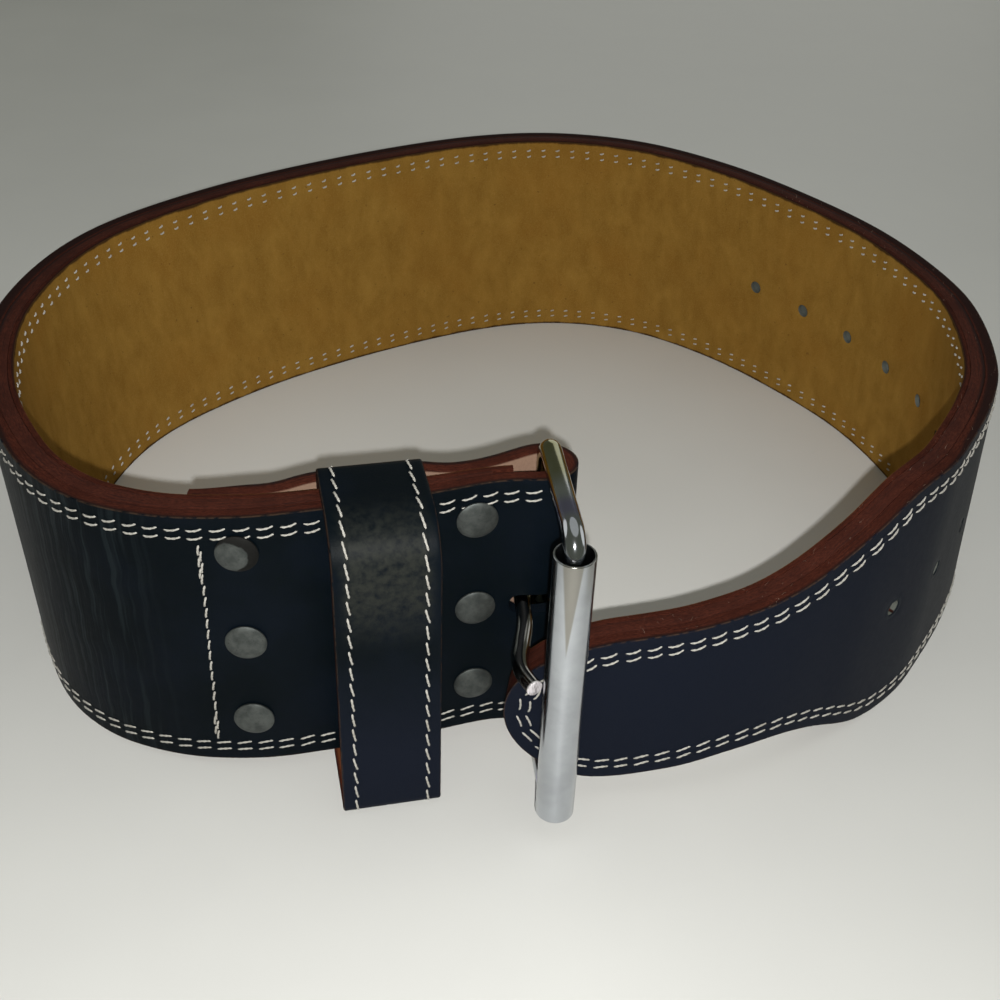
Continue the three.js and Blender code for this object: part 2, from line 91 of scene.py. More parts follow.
# the fold's middle in the frame: the roller is measured there and known here
origin = np.array([(rollerLow.x + rollerHigh.x) / 2, (rollerLow.y + rollerHigh.y) / 2, 0]) - rollerAxis


def smooth(value, low, high):
    share = np.clip((value - low) / (high - low), 0, 1)
    return share * share * (3 - 2 * share)


def splineThrough(points, steps=24):
    # a centripetal spline through the points
    points = np.array(points, float)
    points = np.vstack([2 * points[0] - points[1], points, 2 * points[-1] - points[-2]])
    t = np.linspace(0, 1, steps, endpoint=False)[:, None]
    line = []
    for a, b, c, d in zip(points, points[1:], points[2:], points[3:]):
        ab, bc, cd = [np.linalg.norm(q - p) ** 0.5 for p, q in ((a, b), (b, c), (c, d))]
        leave = ((b - a) / ab - (c - a) / (ab + bc) + (c - b) / bc) * bc
        arrive = ((c - b) / bc - (d - b) / (bc + cd) + (d - c) / cd) * bc
        bend = 3 * (c - b) - 2 * leave - arrive
        twist = 2 * (b - c) + leave + arrive
        line.append(b + leave * t + bend * t**2 + twist * t**3)
    return np.vstack(line + [points[-2][None]])


def softened(values, reach):
    # evens out a row of values over a reach of steps, with its ends left in place
    kernel = np.exp(-0.5 * (np.arange(-3 * reach, 3 * reach + 1) / reach) ** 2)
    kernel /= kernel.sum()
    before = 2 * values[0] - values[1 : 3 * reach + 1][::-1]
    after = 2 * values[-1] - values[-3 * reach - 1 : -1][::-1]
    padded = np.concatenate([before, values, after])
    return np.column_stack([np.convolve(padded[:, k], kernel, "valid") for k in range(padded.shape[1])])


class Way:
    # the middle of the grain leather in space, measured along it, with nought where the fold ends
    step = 0.5 * mm

    def __init__(self, points, before=0, evened=7):
        lengths = np.concatenate([[0], np.cumsum(np.linalg.norm(np.diff(points, axis=0), axis=1))])
        runs = np.arange(0, lengths[-1], self.step)
        places = np.column_stack([np.interp(runs, lengths, points[:, k]) for k in range(3)])
        self.places = softened(places, evened)
        self.runs = runs - before
        self.start = self.runs[0]
        self.end = self.runs[-1]
        ways = np.gradient(self.places, axis=0)
        self.ways = ways / np.linalg.norm(ways, axis=1)[:, None]

    def at(self, run):
        run = np.atleast_1d(run)
        place = np.column_stack([np.interp(run, self.runs, self.places[:, k]) for k in range(3)])
        along = np.column_stack([np.interp(run, self.runs, self.ways[:, k]) for k in range(3)])
        along /= np.linalg.norm(along, axis=1)[:, None]
        out = np.column_stack([-along[:, 1], along[:, 0], np.zeros(len(run))])
        out /= np.linalg.norm(out, axis=1)[:, None]
        square = np.cross(along, out)
        reach = belt["tongueReach"]
        slope = 1 - smooth(self.end - run, reach * belt["taperStart"], reach * belt["taperEnd"])[:, None]
        rise = up + (square - up) * slope
        flat = (slope[:, 0] == 0) & (run >= 0)
        place[flat, 2] = np.maximum(place[flat, 2], belt["width"] / 2)
        return place, along, out, rise

    def bent(self, flat):
        # from the flat leather (along, across, out of the face) to its place in the frame: this mirrors it, so
        # faces that were wound outward are wound inward then
        place, _, out, rise = self.at(flat[:, 0])
        spot = place + out * flat[:, 2:3] + rise * flat[:, 1:2]
        share = smooth(spot[:, 1], belt["loopDepth"] * belt["leanStart"], belt["loopDepth"] * belt["leanEnd"])
        height = (spot[:, 2] - belt["width"] / 2) * share
        spot[:, 0] += belt["lean"][0] * height
        spot[:, 1] += belt["lean"][1] * height
        return spot + origin


def coreThickness(run):
    share = np.clip((run - belt["coreStart"]) / (belt["skiveEnd"] - belt["coreStart"]), 0, 1)
    return belt["coreSkived"] + (belt["core"] - belt["coreSkived"]) * share


coreFace = -belt["grain"] / 2 - belt["gap"]


def liningFace(run):
    return coreFace - coreThickness(run) - belt["gap"]


def liningInside(run):
    return liningFace(run) - belt["lining"]


def beltPoints():
    middle = belt["width"] / 2
    points = [(0, -belt["foldRadius"], middle + belt["lift"])]
    for across, deep, rise in loopRows:
        points.append((across * belt["loopWidth"], deep * belt["loopDepth"], middle + rise * belt["lift"]))
    for out, front, fall in tongueRows:
        x = belt["tongueTip"] + out * belt["tongueReach"]
        points.append((x, -front * buckle["reach"], middle - fall * belt["tongueWidth"]))
    return points


def flapPoints(way):
    points = []
    for back, slack, strap in reversed(flapRows):
        run = back * belt["flapLength"]
        place, _, out, _ = way.at(run)
        space = belt["gap"] + slack * mm + strap * keeper["thickness"]
        spot = place[0] + out[0] * (liningInside(run) - space - belt["grain"] / 2)
        points.append((spot[0], spot[1], spot[2]))
    height = way.at(0)[0][0, 2]
    for i in range(belt["foldSteps"] + 1):
        turn = (belt["flapLeavesFold"] - (belt["flapLeavesFold"] + 90) * i / belt["foldSteps"]) * degree
        points.append((belt["foldRadius"] * math.cos(turn), belt["foldRadius"] * math.sin(turn), height))
    return points


def wholeWay():
    line = splineThrough(beltPoints())
    flap = splineThrough(flapPoints(Way(line, evened=1)))[:-1]
    flapLength = np.linalg.norm(np.diff(np.vstack([flap, line[:1]]), axis=0), axis=1).sum()
    return Way(np.vstack([flap, line]), before=flapLength)


way = wholeWay()
print("way of the belt", round(way.start, 4), round(way.end, 4))


def taperTable():
    # the tongue's half width at every millimetre from its tip
    runs = np.arange(0, belt["taperTable"], 1 * mm)
    share = (runs / belt["tongueReach"] - belt["taperStart"]) / (belt["taperEnd"] - belt["taperStart"])
    wider = (belt["width"] - belt["tongueWidth"]) * np.clip(share, 0, 1) ** belt["tonguePower"]
    widths = (belt["tongueWidth"] + wider) / 2
    return runs, softened(widths[:, None], belt["taperEvened"])[:, 0]


taperRuns, taperWidths = taperTable()


def halfWidth(run):
    fromTip = way.end - np.asarray(run, float)
    wide = np.interp(fromTip, taperRuns, taperWidths)
    near = np.clip(1 - fromTip / belt["tipLength"], 0, 1)
    return wide * np.sqrt(1 - near**2)


def edgeDistance(run, across, start):
    # how far a spot of the flat leather is from its cut edge
    side = halfWidth(run) - np.abs(across)
    u = np.clip(1 - (way.end - run) / belt["tipLength"], 0, 1)
    v = across / (belt["tongueWidth"] / 2)
    reach = np.hypot(u, v) + 1e-9
    slope = np.hypot(u / belt["tipLength"], v / (belt["tongueWidth"] / 2)) / reach
    nose = (1 - reach) / (slope + 1e-9)
    return np.minimum(np.where(u > 0, nose, side), run - start)


# small helpers for modelling
def letGo():
    if bpy.context.object and bpy.context.object.mode != "OBJECT":
        bpy.ops.object.mode_set(mode="OBJECT")
    bpy.ops.object.select_all(action="DESELECT")


def named(name):
    piece = bpy.context.object
    piece.name = name
    piece.data.name = name
    return piece


def picked(piece):
    letGo()
    piece.select_set(True)
    bpy.context.view_layer.objects.active = piece


def spotsOf(piece):
    values = np.empty(len(piece.data.vertices) * 3, np.float32)
    piece.data.vertices.foreach_get("co", values)
    return values.reshape(-1, 3).astype(float)


def putSpots(piece, spots):
    piece.data.vertices.foreach_set("co", np.asarray(spots, np.float32).ravel())
    piece.data.update()


def useModifier(piece, kind, **values):
    picked(piece)
    modifier = piece.modifiers.new(kind.lower(), kind)
    for key, value in values.items():
        setattr(modifier, key, value)
    bpy.ops.object.modifier_apply(modifier=modifier.name)


def rounded(piece, width, segments=3, angle=50):
    limits = {"limit_method": "ANGLE", "angle_limit": angle * degree}
    useModifier(piece, "BEVEL", width=width, segments=segments, **limits)


def mirroredRows(half):
    return np.array([-r for r in half[:0:-1]] + list(half)) * mm


def filled(fixed, stepAt):
    # evenly spaced stations from each fixed one to the next
    stations = []
    for a, b in zip(fixed, fixed[1:]):
        count = max(1, round((b - a) / stepAt(b)))
        stations += [a + (b - a) * k / count for k in range(count)]
    return np.array(stations + [fixed[-1]])


def flatGrid(name, stations, rows):
    # a grid, with the number of the station and of the row that each of its points is at
    letGo()
    bpy.ops.mesh.primitive_grid_add(x_subdivisions=len(stations) - 1, y_subdivisions=len(rows) - 1, size=2)
    sheet = named(name)
    spots = spotsOf(sheet)
    i = np.rint((spots[:, 0] + 1) / 2 * (len(stations) - 1)).astype(int)
    j = np.rint((spots[:, 1] + 1) / 2 * (len(rows) - 1)).astype(int)
    return sheet, i, j


def thickened(sheet, faceOut, faceIn, edgeRound):
    # faceOut and faceIn give the heights of the two faces along the sheet
    useModifier(sheet, "SOLIDIFY", thickness=2 * mm, offset=0, use_even_offset=False)
    spots = spotsOf(sheet)
    spots[:, 2] = np.where(spots[:, 2] > 0, faceOut(spots[:, 0]), faceIn(spots[:, 0]))
    putSpots(sheet, spots)
    rounded(sheet, edgeRound)


def cylinder(name, sides, radius, depth, middle, ends="NGON"):
    letGo()
    bpy.ops.mesh.primitive_cylinder_add(
        vertices=sides, radius=radius, depth=depth, end_fill_type=ends, location=(0, 0, 0))
    piece = named(name)
    piece.data.transform(Matrix.Translation((0, 0, middle)))
    return piece


def selectFaces(piece, chosen):
    # goes into edit mode with just these faces selected
    picked(piece)
    bpy.ops.object.mode_set(mode="EDIT")
    bpy.ops.mesh.select_mode(type="FACE")
    bpy.ops.mesh.select_all(action="DESELECT")
    bpy.ops.object.mode_set(mode="OBJECT")
    piece.data.polygons.foreach_set("select", np.asarray(chosen, bool))
    bpy.ops.object.mode_set(mode="EDIT")


def smoothShaded(piece, angle=40):
    picked(piece)
    bpy.ops.object.shade_smooth_by_angle(angle=angle * degree)


def writeOn(piece, name, values):
    kind, key = ("FLOAT_VECTOR", "vector") if values.ndim == 2 else ("FLOAT", "value")
    attribute = piece.data.attributes.new(name, kind, "POINT")
    attribute.data.foreach_set(key, np.asarray(values, np.float32).ravel())


# one class makes the nodes of a material, the other lets their sums be written as sums
class Wire:
    def __init__(self, finish, socket):
        self.finish = finish
        self.socket = socket

    def also(self, output):
        return Wire(self.finish, self.socket.node.outputs[output])

    def maths(self, operation, *values):
        return self.finish.node("ShaderNodeMath", {"operation": operation}, dict(enumerate((self, *values))))

    def __add__(self, other):
        return self.maths("ADD", other)

    def __sub__(self, other):
        return self.maths("SUBTRACT", other)

    def __rsub__(self, other):
        return self.maths("MULTIPLY_ADD", -1.0, other)

    def __mul__(self, other):
        return self.maths("MULTIPLY", other)

    def __truediv__(self, other):
        return self.maths("DIVIDE", other)

    def __pow__(self, other):
        return self.maths("POWER", other)

    __radd__ = __add__
    __rmul__ = __mul__

    def size(self):
        return self.maths("ABSOLUTE")

    def between(self, low, high):
        # nought at low, one at high, eased
        sockets = {"Value": self, "From Min": low, "From Max": high}
        return self.finish.node("ShaderNodeMapRange", {"interpolation_type": "SMOOTHSTEP"}, sockets)


class Finish:
    def __init__(self, name):
        self.material = bpy.data.materials.new(name)
        self.material.use_nodes = True
        self.tree = self.material.node_tree
        self.tree.nodes.clear()

    def node(self, kind, settings=None, sockets=None, output=0):
        made = self.tree.nodes.new(kind)
        for key, value in (settings or {}).items():
            setattr(made, key, value)
        for key, value in (sockets or {}).items():
            if isinstance(value, Wire):
                self.tree.links.new(value.socket, made.inputs[key])
            else:
                made.inputs[key].default_value = value
        return Wire(self, made.outputs[output])

    def where(self):
        return self.node("ShaderNodeTexCoord", output="Object")

    def attribute(self, name, output="Fac"):
        return self.node("ShaderNodeAttribute", {"attribute_name": name}, output=output)

    def split(self, vector):
        first = self.node("ShaderNodeSeparateXYZ", sockets={0: vector})
        return first, first.also(1), first.also(2)

    def join(self, x, y, z):
        return self.node("ShaderNodeCombineXYZ", sockets={0: x, 1: y, 2: z})

    def stretch(self, vector, scale):
        return self.node("ShaderNodeMapping", sockets={"Vector": vector, "Scale": scale})

    def noise(self, vector, size, detail=3, rough=0.55, twist=0):
        sockets = {"Vector": vector, "Scale": 1 / size, "Detail": detail, "Roughness": rough}
        sockets["Distortion"] = twist
        return self.node("ShaderNodeTexNoise", sockets=sockets)

    def cells(self, vector, size):
        return self.node("ShaderNodeTexVoronoi", sockets={"Vector": vector, "Scale": 1 / size})

    def blend(self, mask, a, b):
        a = a if isinstance(a, Wire) else (*a, 1)
        b = b if isinstance(b, Wire) else (*b, 1)
        return self.node("ShaderNodeMix", {"data_type": "RGBA"}, {0: mask, 6: a, 7: b}, output=2)

    def bump(self, height, depth, strength=1, before=None):
        sockets = {"Height": height, "Distance": depth, "Strength": strength}
        if before:
            sockets["Normal"] = before
        return self.node("ShaderNodeBump", sockets=sockets)

    def shade(self, color, roughness, normal=None, **fixed):
        sockets = {"Base Color": color, "Roughness": roughness}
        if normal:
            sockets["Normal"] = normal
        sockets.update({key.replace("_", " "): value for key, value in fixed.items()})
        shader = self.node("ShaderNodeBsdfPrincipled", sockets=sockets)
        output = self.tree.nodes.new("ShaderNodeOutputMaterial")
        self.tree.links.new(shader.socket, output.inputs["Surface"])
        return self.material


def dress(piece, material, body, slot, *nodes):
    piece.data.materials.clear()
    piece.data.materials.append(material)
    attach(piece, body)
    if nodes:
        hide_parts(*nodes)
    return piece


# camera, floor and lights
view = {
    "place": (-0.0005, -0.4569, 0.3383), "tilt": 53.81, "roll": 2.27,
    "lens": 48.1, "sensor": 36, "near": 0.01,
}


def placeCamera():
    camera = bpy.data.objects.new("camera", bpy.data.cameras.new("camera"))
    bpy.context.scene.collection.objects.link(camera)
    camera.data.sensor_width = view["sensor"]
    camera.data.lens = view["lens"]
    camera.data.clip_start = view["near"]
    turn = Matrix.Rotation(view["tilt"] * degree, 4, "X") @ Matrix.Rotation(view["roll"] * degree, 4, "Z")
    camera.matrix_world = Matrix.Translation(view["place"]) @ turn
    bpy.context.scene.camera = camera
    bpy.context.scene.view_settings.view_transform = "Standard"


studio = {
    "floorSize": 6, "floorDrop": 0.15 * mm, "floorDark": (0.60, 0.60, 0.58), "floorPale": (0.68, 0.68, 0.655),
    "flashOffset": (0.006, -0.045, 0.017), "warm": (1, 0.99, 0.97), "cool": (0.98, 0.99, 1),
    "air": (0.81, 0.86, 0.68), "airPower": 0.13,
}
flashPlace = [a + b for a, b in zip(view["place"], studio["flashOffset"])]
# name, place, what it points at, size, power, colour
lights = [
    ("flash", flashPlace, (0, 0, 0.04), 0.007, 2.9, studio["warm"]),
    ("softAbove", (0.1, 0.1, 1.25), (0, 0, 0), 1.6, 2.45, studio["cool"]),
    ("leftSoft", (-1.2, 0.35, 0.45), (0, 0, 0.05), 0.9, 1.6, studio["warm"]),
    ("rightSoft", (1.2, 0.25, 0.45), (0, 0, 0.05), 0.9, 1.6, studio["warm"]),
    ("backSoft", (0.25, 1.5, 0.42), (0, 0.15, 0.05), 1.1, 2.2, studio["warm"]),
]


def areaLight(name, place, target, size, power, color):
    light = bpy.data.objects.new(name, bpy.data.lights.new(name, "AREA"))
    bpy.context.scene.collection.objects.link(light)
    light.data.shape = "DISK"
    light.data.size = size
    light.data.energy = power
    light.data.color = color
    aim = Vector(target) - Vector(place)
    light.matrix_world = Matrix.Translation(place) @ aim.to_track_quat("-Z", "Y").to_matrix().to_4x4()


def floorFinish():
    f = Finish("paleFloor")
    spot = f.where()
    cloud = f.noise(spot, 0.12, 3)
    grain = f.noise(spot, 0.0012, 2)
    color = f.blend(cloud, studio["floorDark"], studio["floorPale"])
    return f.shade(color, 0.42 + 0.12 * cloud, f.bump(grain, 0.05 * mm, 0.3), Specular_IOR_Level=0.3)


def setStage():
    letGo()
    bpy.ops.mesh.primitive_plane_add(size=studio["floorSize"], location=(0, 0, 0))
    floor = named("floor")
    floor.data.transform(Matrix.Translation((0, 0, -studio["floorDrop"])))
    floor.data.materials.append(floorFinish())
    for light in lights:
        areaLight(*light)
    world = bpy.data.worlds.new("air")
    bpy.context.scene.world = world
    world.use_nodes = True
    background = world.node_tree.nodes["Background"]
    background.inputs["Color"].default_value = (*studio["air"], 1)
    background.inputs["Strength"].default_value = studio["airPower"]


placeCamera()
setStage()
print("camera and studio placed")


# the seams: how far in from the edge, the stitches' pitch and length, their slant, bow and lift
seams = {
    "outer": {
        "insets": (4.5 * mm, 7.5 * mm), "start": 0.5 * mm, "pitch": 6.76 * mm, "length": 5.6 * mm,
        "thread": 0.62 * mm, "slant": -9, "bow": 0.42 * mm, "lift": 0.22 * mm,
    },
    "inner": {
        "insets": (4.5 * mm, 7.5 * mm), "start": 16 * mm, "pitch": 7.71 * mm, "length": 2.5 * mm,
        "thread": 0.68 * mm, "slant": 14, "bow": 0.2 * mm, "lift": 0.18 * mm,
    },
    "flapEnd": {
        "run": 105 * mm, "lean": 0.022, "from": -39 * mm, "to": 39 * mm,
        "pitch": 4.4 * mm, "length": 4.4 * mm, "thread": 0.68 * mm, "slant": 7, "bow": 0.1 * mm,
        "lift": 0.30 * mm, "uneven": 0.1 * mm,
        "doubledLow": 8 * mm, "doubledHigh": 14 * mm, "doubledAside": 0.55 * mm,
    },
    "keeper": {
        "inset": 4.3 * mm, "pitch": 6.4 * mm, "length": 6.3 * mm,
        "thread": 0.68 * mm, "slant": -10, "bow": 0.1 * mm, "lift": 0.30 * mm,
    },
}


# the three layers are cut flat, punched, thickened, rounded at the edges and then bent round
leather = {
    "rows": (0, 1.475, 2.95, 6.8, 12, 20, 30, 38, 42.5, 45.5, 48, 49.1, 50),
    "tipTurns": (3, 6, 10, 15, 20, 26, 33, 41, 50, 60, 70, 80, 90),
    "station": 4 * mm, "tightStation": 1.3 * mm, "tightUpTo": 12 * mm,
    "hole": 5.9 * mm, "holePitch": 29.6 * mm, "holes": 10, "firstHole": 139 * mm,
    "slotFrom": -40.6 * mm, "slotTo": 10.2 * mm, "slotHalf": 3.8 * mm, "slotLift": 1.2 * mm,
    "slotFadeFrom": 4 * mm, "slotFade": 45 * mm, "wallReach": 0.3 * mm,
    "edgeRound": 0.7 * mm, "coreRound": 0.35 * mm, "liningRound": 0.5 * mm,
    "closed": 0.12 * mm, "endSkive": 2.2 * mm, "endReach": 20 * mm,
}


def holeRuns():
    return [way.end - leather["firstHole"] - i * leather["holePitch"] for i in range(leather["holes"])]


def stationsFrom(start):
    half = leather["hole"] / 2
    fixed = [start]
    for run in holeRuns():
        fixed += [run + k * half / 2 for k in (-2, -1, 0, 1, 2)]
    slotHalf = leather["slotHalf"]
    for centre, side in ((leather["slotFrom"] + slotHalf, -1), (leather["slotTo"] - slotHalf, 1)):
        fixed += [centre + side * k * slotHalf / 2 for k in (0, 1, 2)]
    fixed += [way.end - belt["tipLength"] * (1 - math.cos(turn * degree)) for turn in leather["tipTurns"]]

    def stepAt(run):
        return leather["tightStation"] if run < leather["tightUpTo"] else leather["station"]

    return filled(sorted(run for run in fixed if run >= start), stepAt)


def onRound(offset, radius):
    # a spot on a square of that half side goes to the circle inside it
    dx, dy = offset / radius
    if abs(dx) >= abs(dy) - 1e-6:
        turn = dy / abs(dx) * 45 * degree
        return np.array([math.copysign(math.cos(turn), dx), math.sin(turn)]) * radius
    turn = dx / abs(dy) * 45 * degree
    return np.array([math.sin(turn), math.copysign(math.cos(turn), dy)]) * radius


def leatherSheet(name, start):
    stations = stationsFrom(start)
    rows = mirroredRows(leather["rows"])
    sheet, i, row = flatGrid(name, stations, rows)
    j = row - len(rows) // 2
    run = stations[i]
    across = rows[row] * halfWidth(run) / (belt["width"] / 2)
    near = 1 - smooth(run, leather["slotTo"] + leather["slotFadeFrom"], leather["slotFade"])
    inner = np.abs(j) <= 2
    wide = j / 2 * leather["slotHalf"] + leather["slotLift"]
    across = np.where(inner, across + (wide - across) * near, across)
    gone = []
    half = leather["hole"] / 2
    windows = [(hole - half, hole + half, hole, hole, half, 0) for hole in holeRuns()]
    slotHalf = leather["slotHalf"]
    ends = (leather["slotFrom"] + slotHalf, leather["slotTo"] - slotHalf)
    windows.append((leather["slotFrom"], leather["slotTo"], *ends, slotHalf, leather["slotLift"]))
    flat = np.column_stack([run, across])
    for low, high, first, last, radius, lift in windows:
        inside = inner & (run > low - 1e-6) & (run < high + 1e-6)
        gone.append(inside)
        for k in np.flatnonzero(inside):
            centre = first if run[k] <= first + 1e-7 else last
            offset = flat[k] - (centre, lift)
            if (run[k] <= first + 1e-7 or run[k] >= last - 1e-7) and abs(max(abs(offset)) - radius) < 1e-5:
                flat[k] = np.array([centre, lift]) + onRound(offset, radius)
    putSpots(sheet, np.column_stack([flat, np.zeros(len(flat))]))
    cut = [any(all(inside[v] for v in face.vertices) for inside in gone) for face in sheet.data.polygons]
    selectFaces(sheet, cut)
    bpy.ops.mesh.delete(type="FACE")
    bpy.ops.object.mode_set(mode="OBJECT")
    return sheet


def layer(name, start, faceOut, faceIn, edgeRound):
    # faceOut and faceIn give the two faces' distances from the middle of the grain leather
    sheet = leatherSheet(name, start)
    thickened(sheet, faceOut, faceIn, edgeRound)
    return sheet


def punched(flat):
    # one at the walls of the holes, two at the walls of the prong's slot
    reach = leather["wallReach"]
    near = np.min([np.hypot(flat[:, 0] - run, flat[:, 1]) for run in holeRuns()], axis=0)
    slot = (flat[:, 0] < leather["slotTo"] + reach) & (flat[:, 0] > leather["slotFrom"] - reach)
    slot &= np.abs(flat[:, 1] - leather["slotLift"]) < leather["slotHalf"] + reach
    return (near < leather["hole"] / 2 + reach) + 2.0 * slot


def bendRound(piece, depth, start):
    # keeps the flat leather's measures on it for its finish, then bends it
    flat = spotsOf(piece)
    writeOn(piece, "punched", punched(flat))
    writeOn(piece, "flat", np.column_stack([flat[:, 0], flat[:, 1], depth(flat)]))
    writeOn(piece, "edge", edgeDistance(flat[:, 0], flat[:, 1], start))
    putSpots(piece, way.bent(flat))
    smoothShaded(piece)


hideLook = {
    "navy": (0.0012, 0.0030, 0.0046), "blue": (0.0022, 0.0044, 0.0078), "green": (0.0020, 0.0046, 0.0042),
    "pale": (0.0050, 0.0073, 0.0143), "olive": (0.0200, 0.0220, 0.0190),
    "creaseTop": (0.0095, 0.0145, 0.0170), "brown": (0.027, 0.0068, 0.0042),
    "redBrown": (0.072, 0.0185, 0.0105), "burnt": (0.012, 0.0060, 0.0055), "wornRim": (0.060, 0.034, 0.020),
    "holeWall": (0.105, 0.112, 0.098), "flesh": (0.300, 0.190, 0.135), "keeperFlesh": (0.150, 0.046, 0.018),
}
# where along the belt its bend is creased, its blue grows paler and its cut edge is darker, how far the
# painted sheen and a hole's ring reach, and how deep in the leather its flesh side starts
hideReach = {
    "creases": (112 * mm, 300 * mm), "creaseStart": 35 * mm, "creaseStop": 60 * mm,
    "pale": (way.end - 300 * mm, way.end - 130 * mm), "back": (160 * mm, 240 * mm, 0.88, 0.96),
    "sheen": (4 * mm, 30 * mm), "ring": (0.3 * mm, 1.6 * mm), "fleshDeep": 3.4 * mm,
}


def leatherEdge(f, run, depth, spot):
    # the dyed cut edge: fibres along the strap, dark and burnished beside the grain face
    fibres = f.noise(f.join(run * 0.22, depth, f.split(spot)[2] * 0.6), 0.32 * mm, 4, 0.62)
    patches = f.noise(spot, 13 * mm, 4, 0.6)
    layers = f.noise(f.join(run * 0.03, depth, 0.0), 0.7 * mm, 3, 0.6)
    brown = f.blend(fibres.between(0.28, 0.72), hideLook["brown"], hideLook["redBrown"])
    brown = f.blend(patches.between(0.40, 0.68) * 0.55, brown, hideLook["brown"])
    brown = f.blend(layers.between(0.52, 0.66) * 0.45, brown, hideLook["burnt"])
    leftFrom, leftTo, rightFrom, rightTo = hideReach["back"]
    back = run.between(leftFrom, leftTo) * (1 - run.between(rightFrom, rightTo))
    burnt = (depth + (patches - 0.5) * 1.2 * mm - back * 2.6 * mm).between(0.6 * mm, 1.8 * mm)
    return f.blend((1 - burnt) * 0.85, brown, hideLook["burnt"]), fibres


def grainFinish(name, seamInsets, fleshColor, pale, creases=(0.0, 0.0), bored=1.0, sheenAt=None):
    f = Finish(name)
    run, across, depth = f.split(f.attribute("flat", "Vector"))
    edge = f.attribute("edge")
    punched = f.attribute("punched")
    spot = f.where()
    clouds = f.noise(spot, 26 * mm, 3)
    wavy = f.noise(f.join(run * 0.5, across, 0.0), 16 * mm, 2)
    streaks = f.noise(f.join(run + wavy * 4 * mm, across * 0.03, 0.0), 2.2 * mm, 4, 0.6)
    pores = f.cells(spot, 0.5 * mm)
    soft = f.noise(spot, 2.6 * mm, 4, 0.6)
    navy = f.blend(clouds.between(0.35, 0.7), hideLook["navy"], hideLook["blue"])
    navy = f.blend(soft.between(0.5, 0.8) * 0.5, navy, hideLook["green"])
    navy = f.blend(run.between(*pale), navy, hideLook["pale"])
    first, last = creases
    bendHere = run.between(first, first + hideReach["creaseStart"])
    bendHere = bendHere * (1 - run.between(last - hideReach["creaseStop"], last))
    lines = streaks.between(0.50, 0.64) * bendHere
    navy = f.blend(lines, navy, hideLook["creaseTop"])
    if sheenAt:
        # a painted sheen: the keeper's bend is turned olive where the light glances off it
        paintedSheen = (1 - (run - sheenAt).size().between(*hideReach["sheen"])) * soft.between(0.2, 0.7)
        navy = f.blend(paintedSheen * edge.between(0.5 * mm, 6 * mm), navy, hideLook["olive"])
    # a ring pressed into the leather round each hole, on this side of the first and that side of the last
    pitch, radius = leather["holePitch"], leather["hole"] / 2
    firstHole, lastHole = holeRuns()[0], holeRuns()[-1]
    fromHole = (run - firstHole + pitch / 2).maths("FLOORED_MODULO", pitch)
    fromHole = ((fromHole - pitch / 2) ** 2.0 + across ** 2.0) ** 0.5
    holed = run.between(lastHole - 12 * mm, lastHole - 10 * mm)
    holed = (1 - run.between(firstHole + 10 * mm, firstHole + 12 * mm)) * holed * bored
    ring = (1 - fromHole.between(*(radius + reach for reach in hideReach["ring"]))) * holed
    navy = f.blend(ring * 0.5, navy, hideLook["creaseTop"])
    brown, fibres = leatherEdge(f, run, depth, spot)
    rim = (edge + soft * 0.6 * mm).between(0.30 * mm, 0.85 * mm)
    navy = f.blend((1 - rim) * soft.between(0.35, 0.6) * 0.7, navy, hideLook["wornRim"])
    fleshMask = (depth - hideReach["fleshDeep"]).between(0.0, 0.2 * mm) * edge.between(0.4 * mm, 1.2 * mm)
    fluff = f.noise(spot, 0.9 * mm, 4, 0.7)
    brown = f.blend(fleshMask, brown, f.blend(fluff, tuple(0.6 * c for c in fleshColor), fleshColor))
    brown = f.blend(punched.between(0.4, 0.6), brown, hideLook["holeWall"])
    # painted shade: the walls of the prong's slot are darkened to deep blue
    brown = f.blend(punched.between(1.4, 1.6), brown, hideLook["blue"])
    cut = (depth + (soft - 0.5) * 0.25 * mm).between(0.25 * mm, 0.6 * mm)
    color = f.blend(cut, navy, brown)
    pressed = 0.0
    for inset in seamInsets:
        pressed = pressed + (1 - (edge - inset).size().between(0.2 * mm, 1.1 * mm))
    normal = f.bump(pores, 0.05 * mm, 0.35)
    normal = f.bump(streaks * (0.08 + bendHere * 0.6) + soft * 0.12, 0.5 * mm, 0.5, normal)
    normal = f.bump(0.0 - pressed * (1 - cut) - ring * 2.0, 0.14 * mm, 0.5, normal)
    normal = f.bump(fibres * cut, 0.2 * mm, 0.6, normal)
    roughness = 0.42 + 0.12 * soft + 0.35 * cut - 0.05 * lines
    return f.shade(color, roughness, normal, Specular_IOR_Level=0.05)


def coreFinish():
    f = Finish("dyedCore")
    run, _, depth = f.split(f.attribute("flat", "Vector"))
    brown, fibres = leatherEdge(f, run, depth + 3 * mm, f.where())
    color = f.blend(f.attribute("punched").between(0.4, 0.6), brown, hideLook["holeWall"])
    return f.shade(color, 0.72 + 0.12 * fibres, f.bump(fibres, 0.2 * mm, 0.6), Specular_IOR_Level=0.08)


suedeLook = {
    "dark": (0.180, 0.090, 0.0135), "light": (0.290, 0.162, 0.032), "patch": (0.220, 0.106, 0.016),
    "nap": (0.390, 0.245, 0.075), "speck": (0.070, 0.035, 0.010),
}


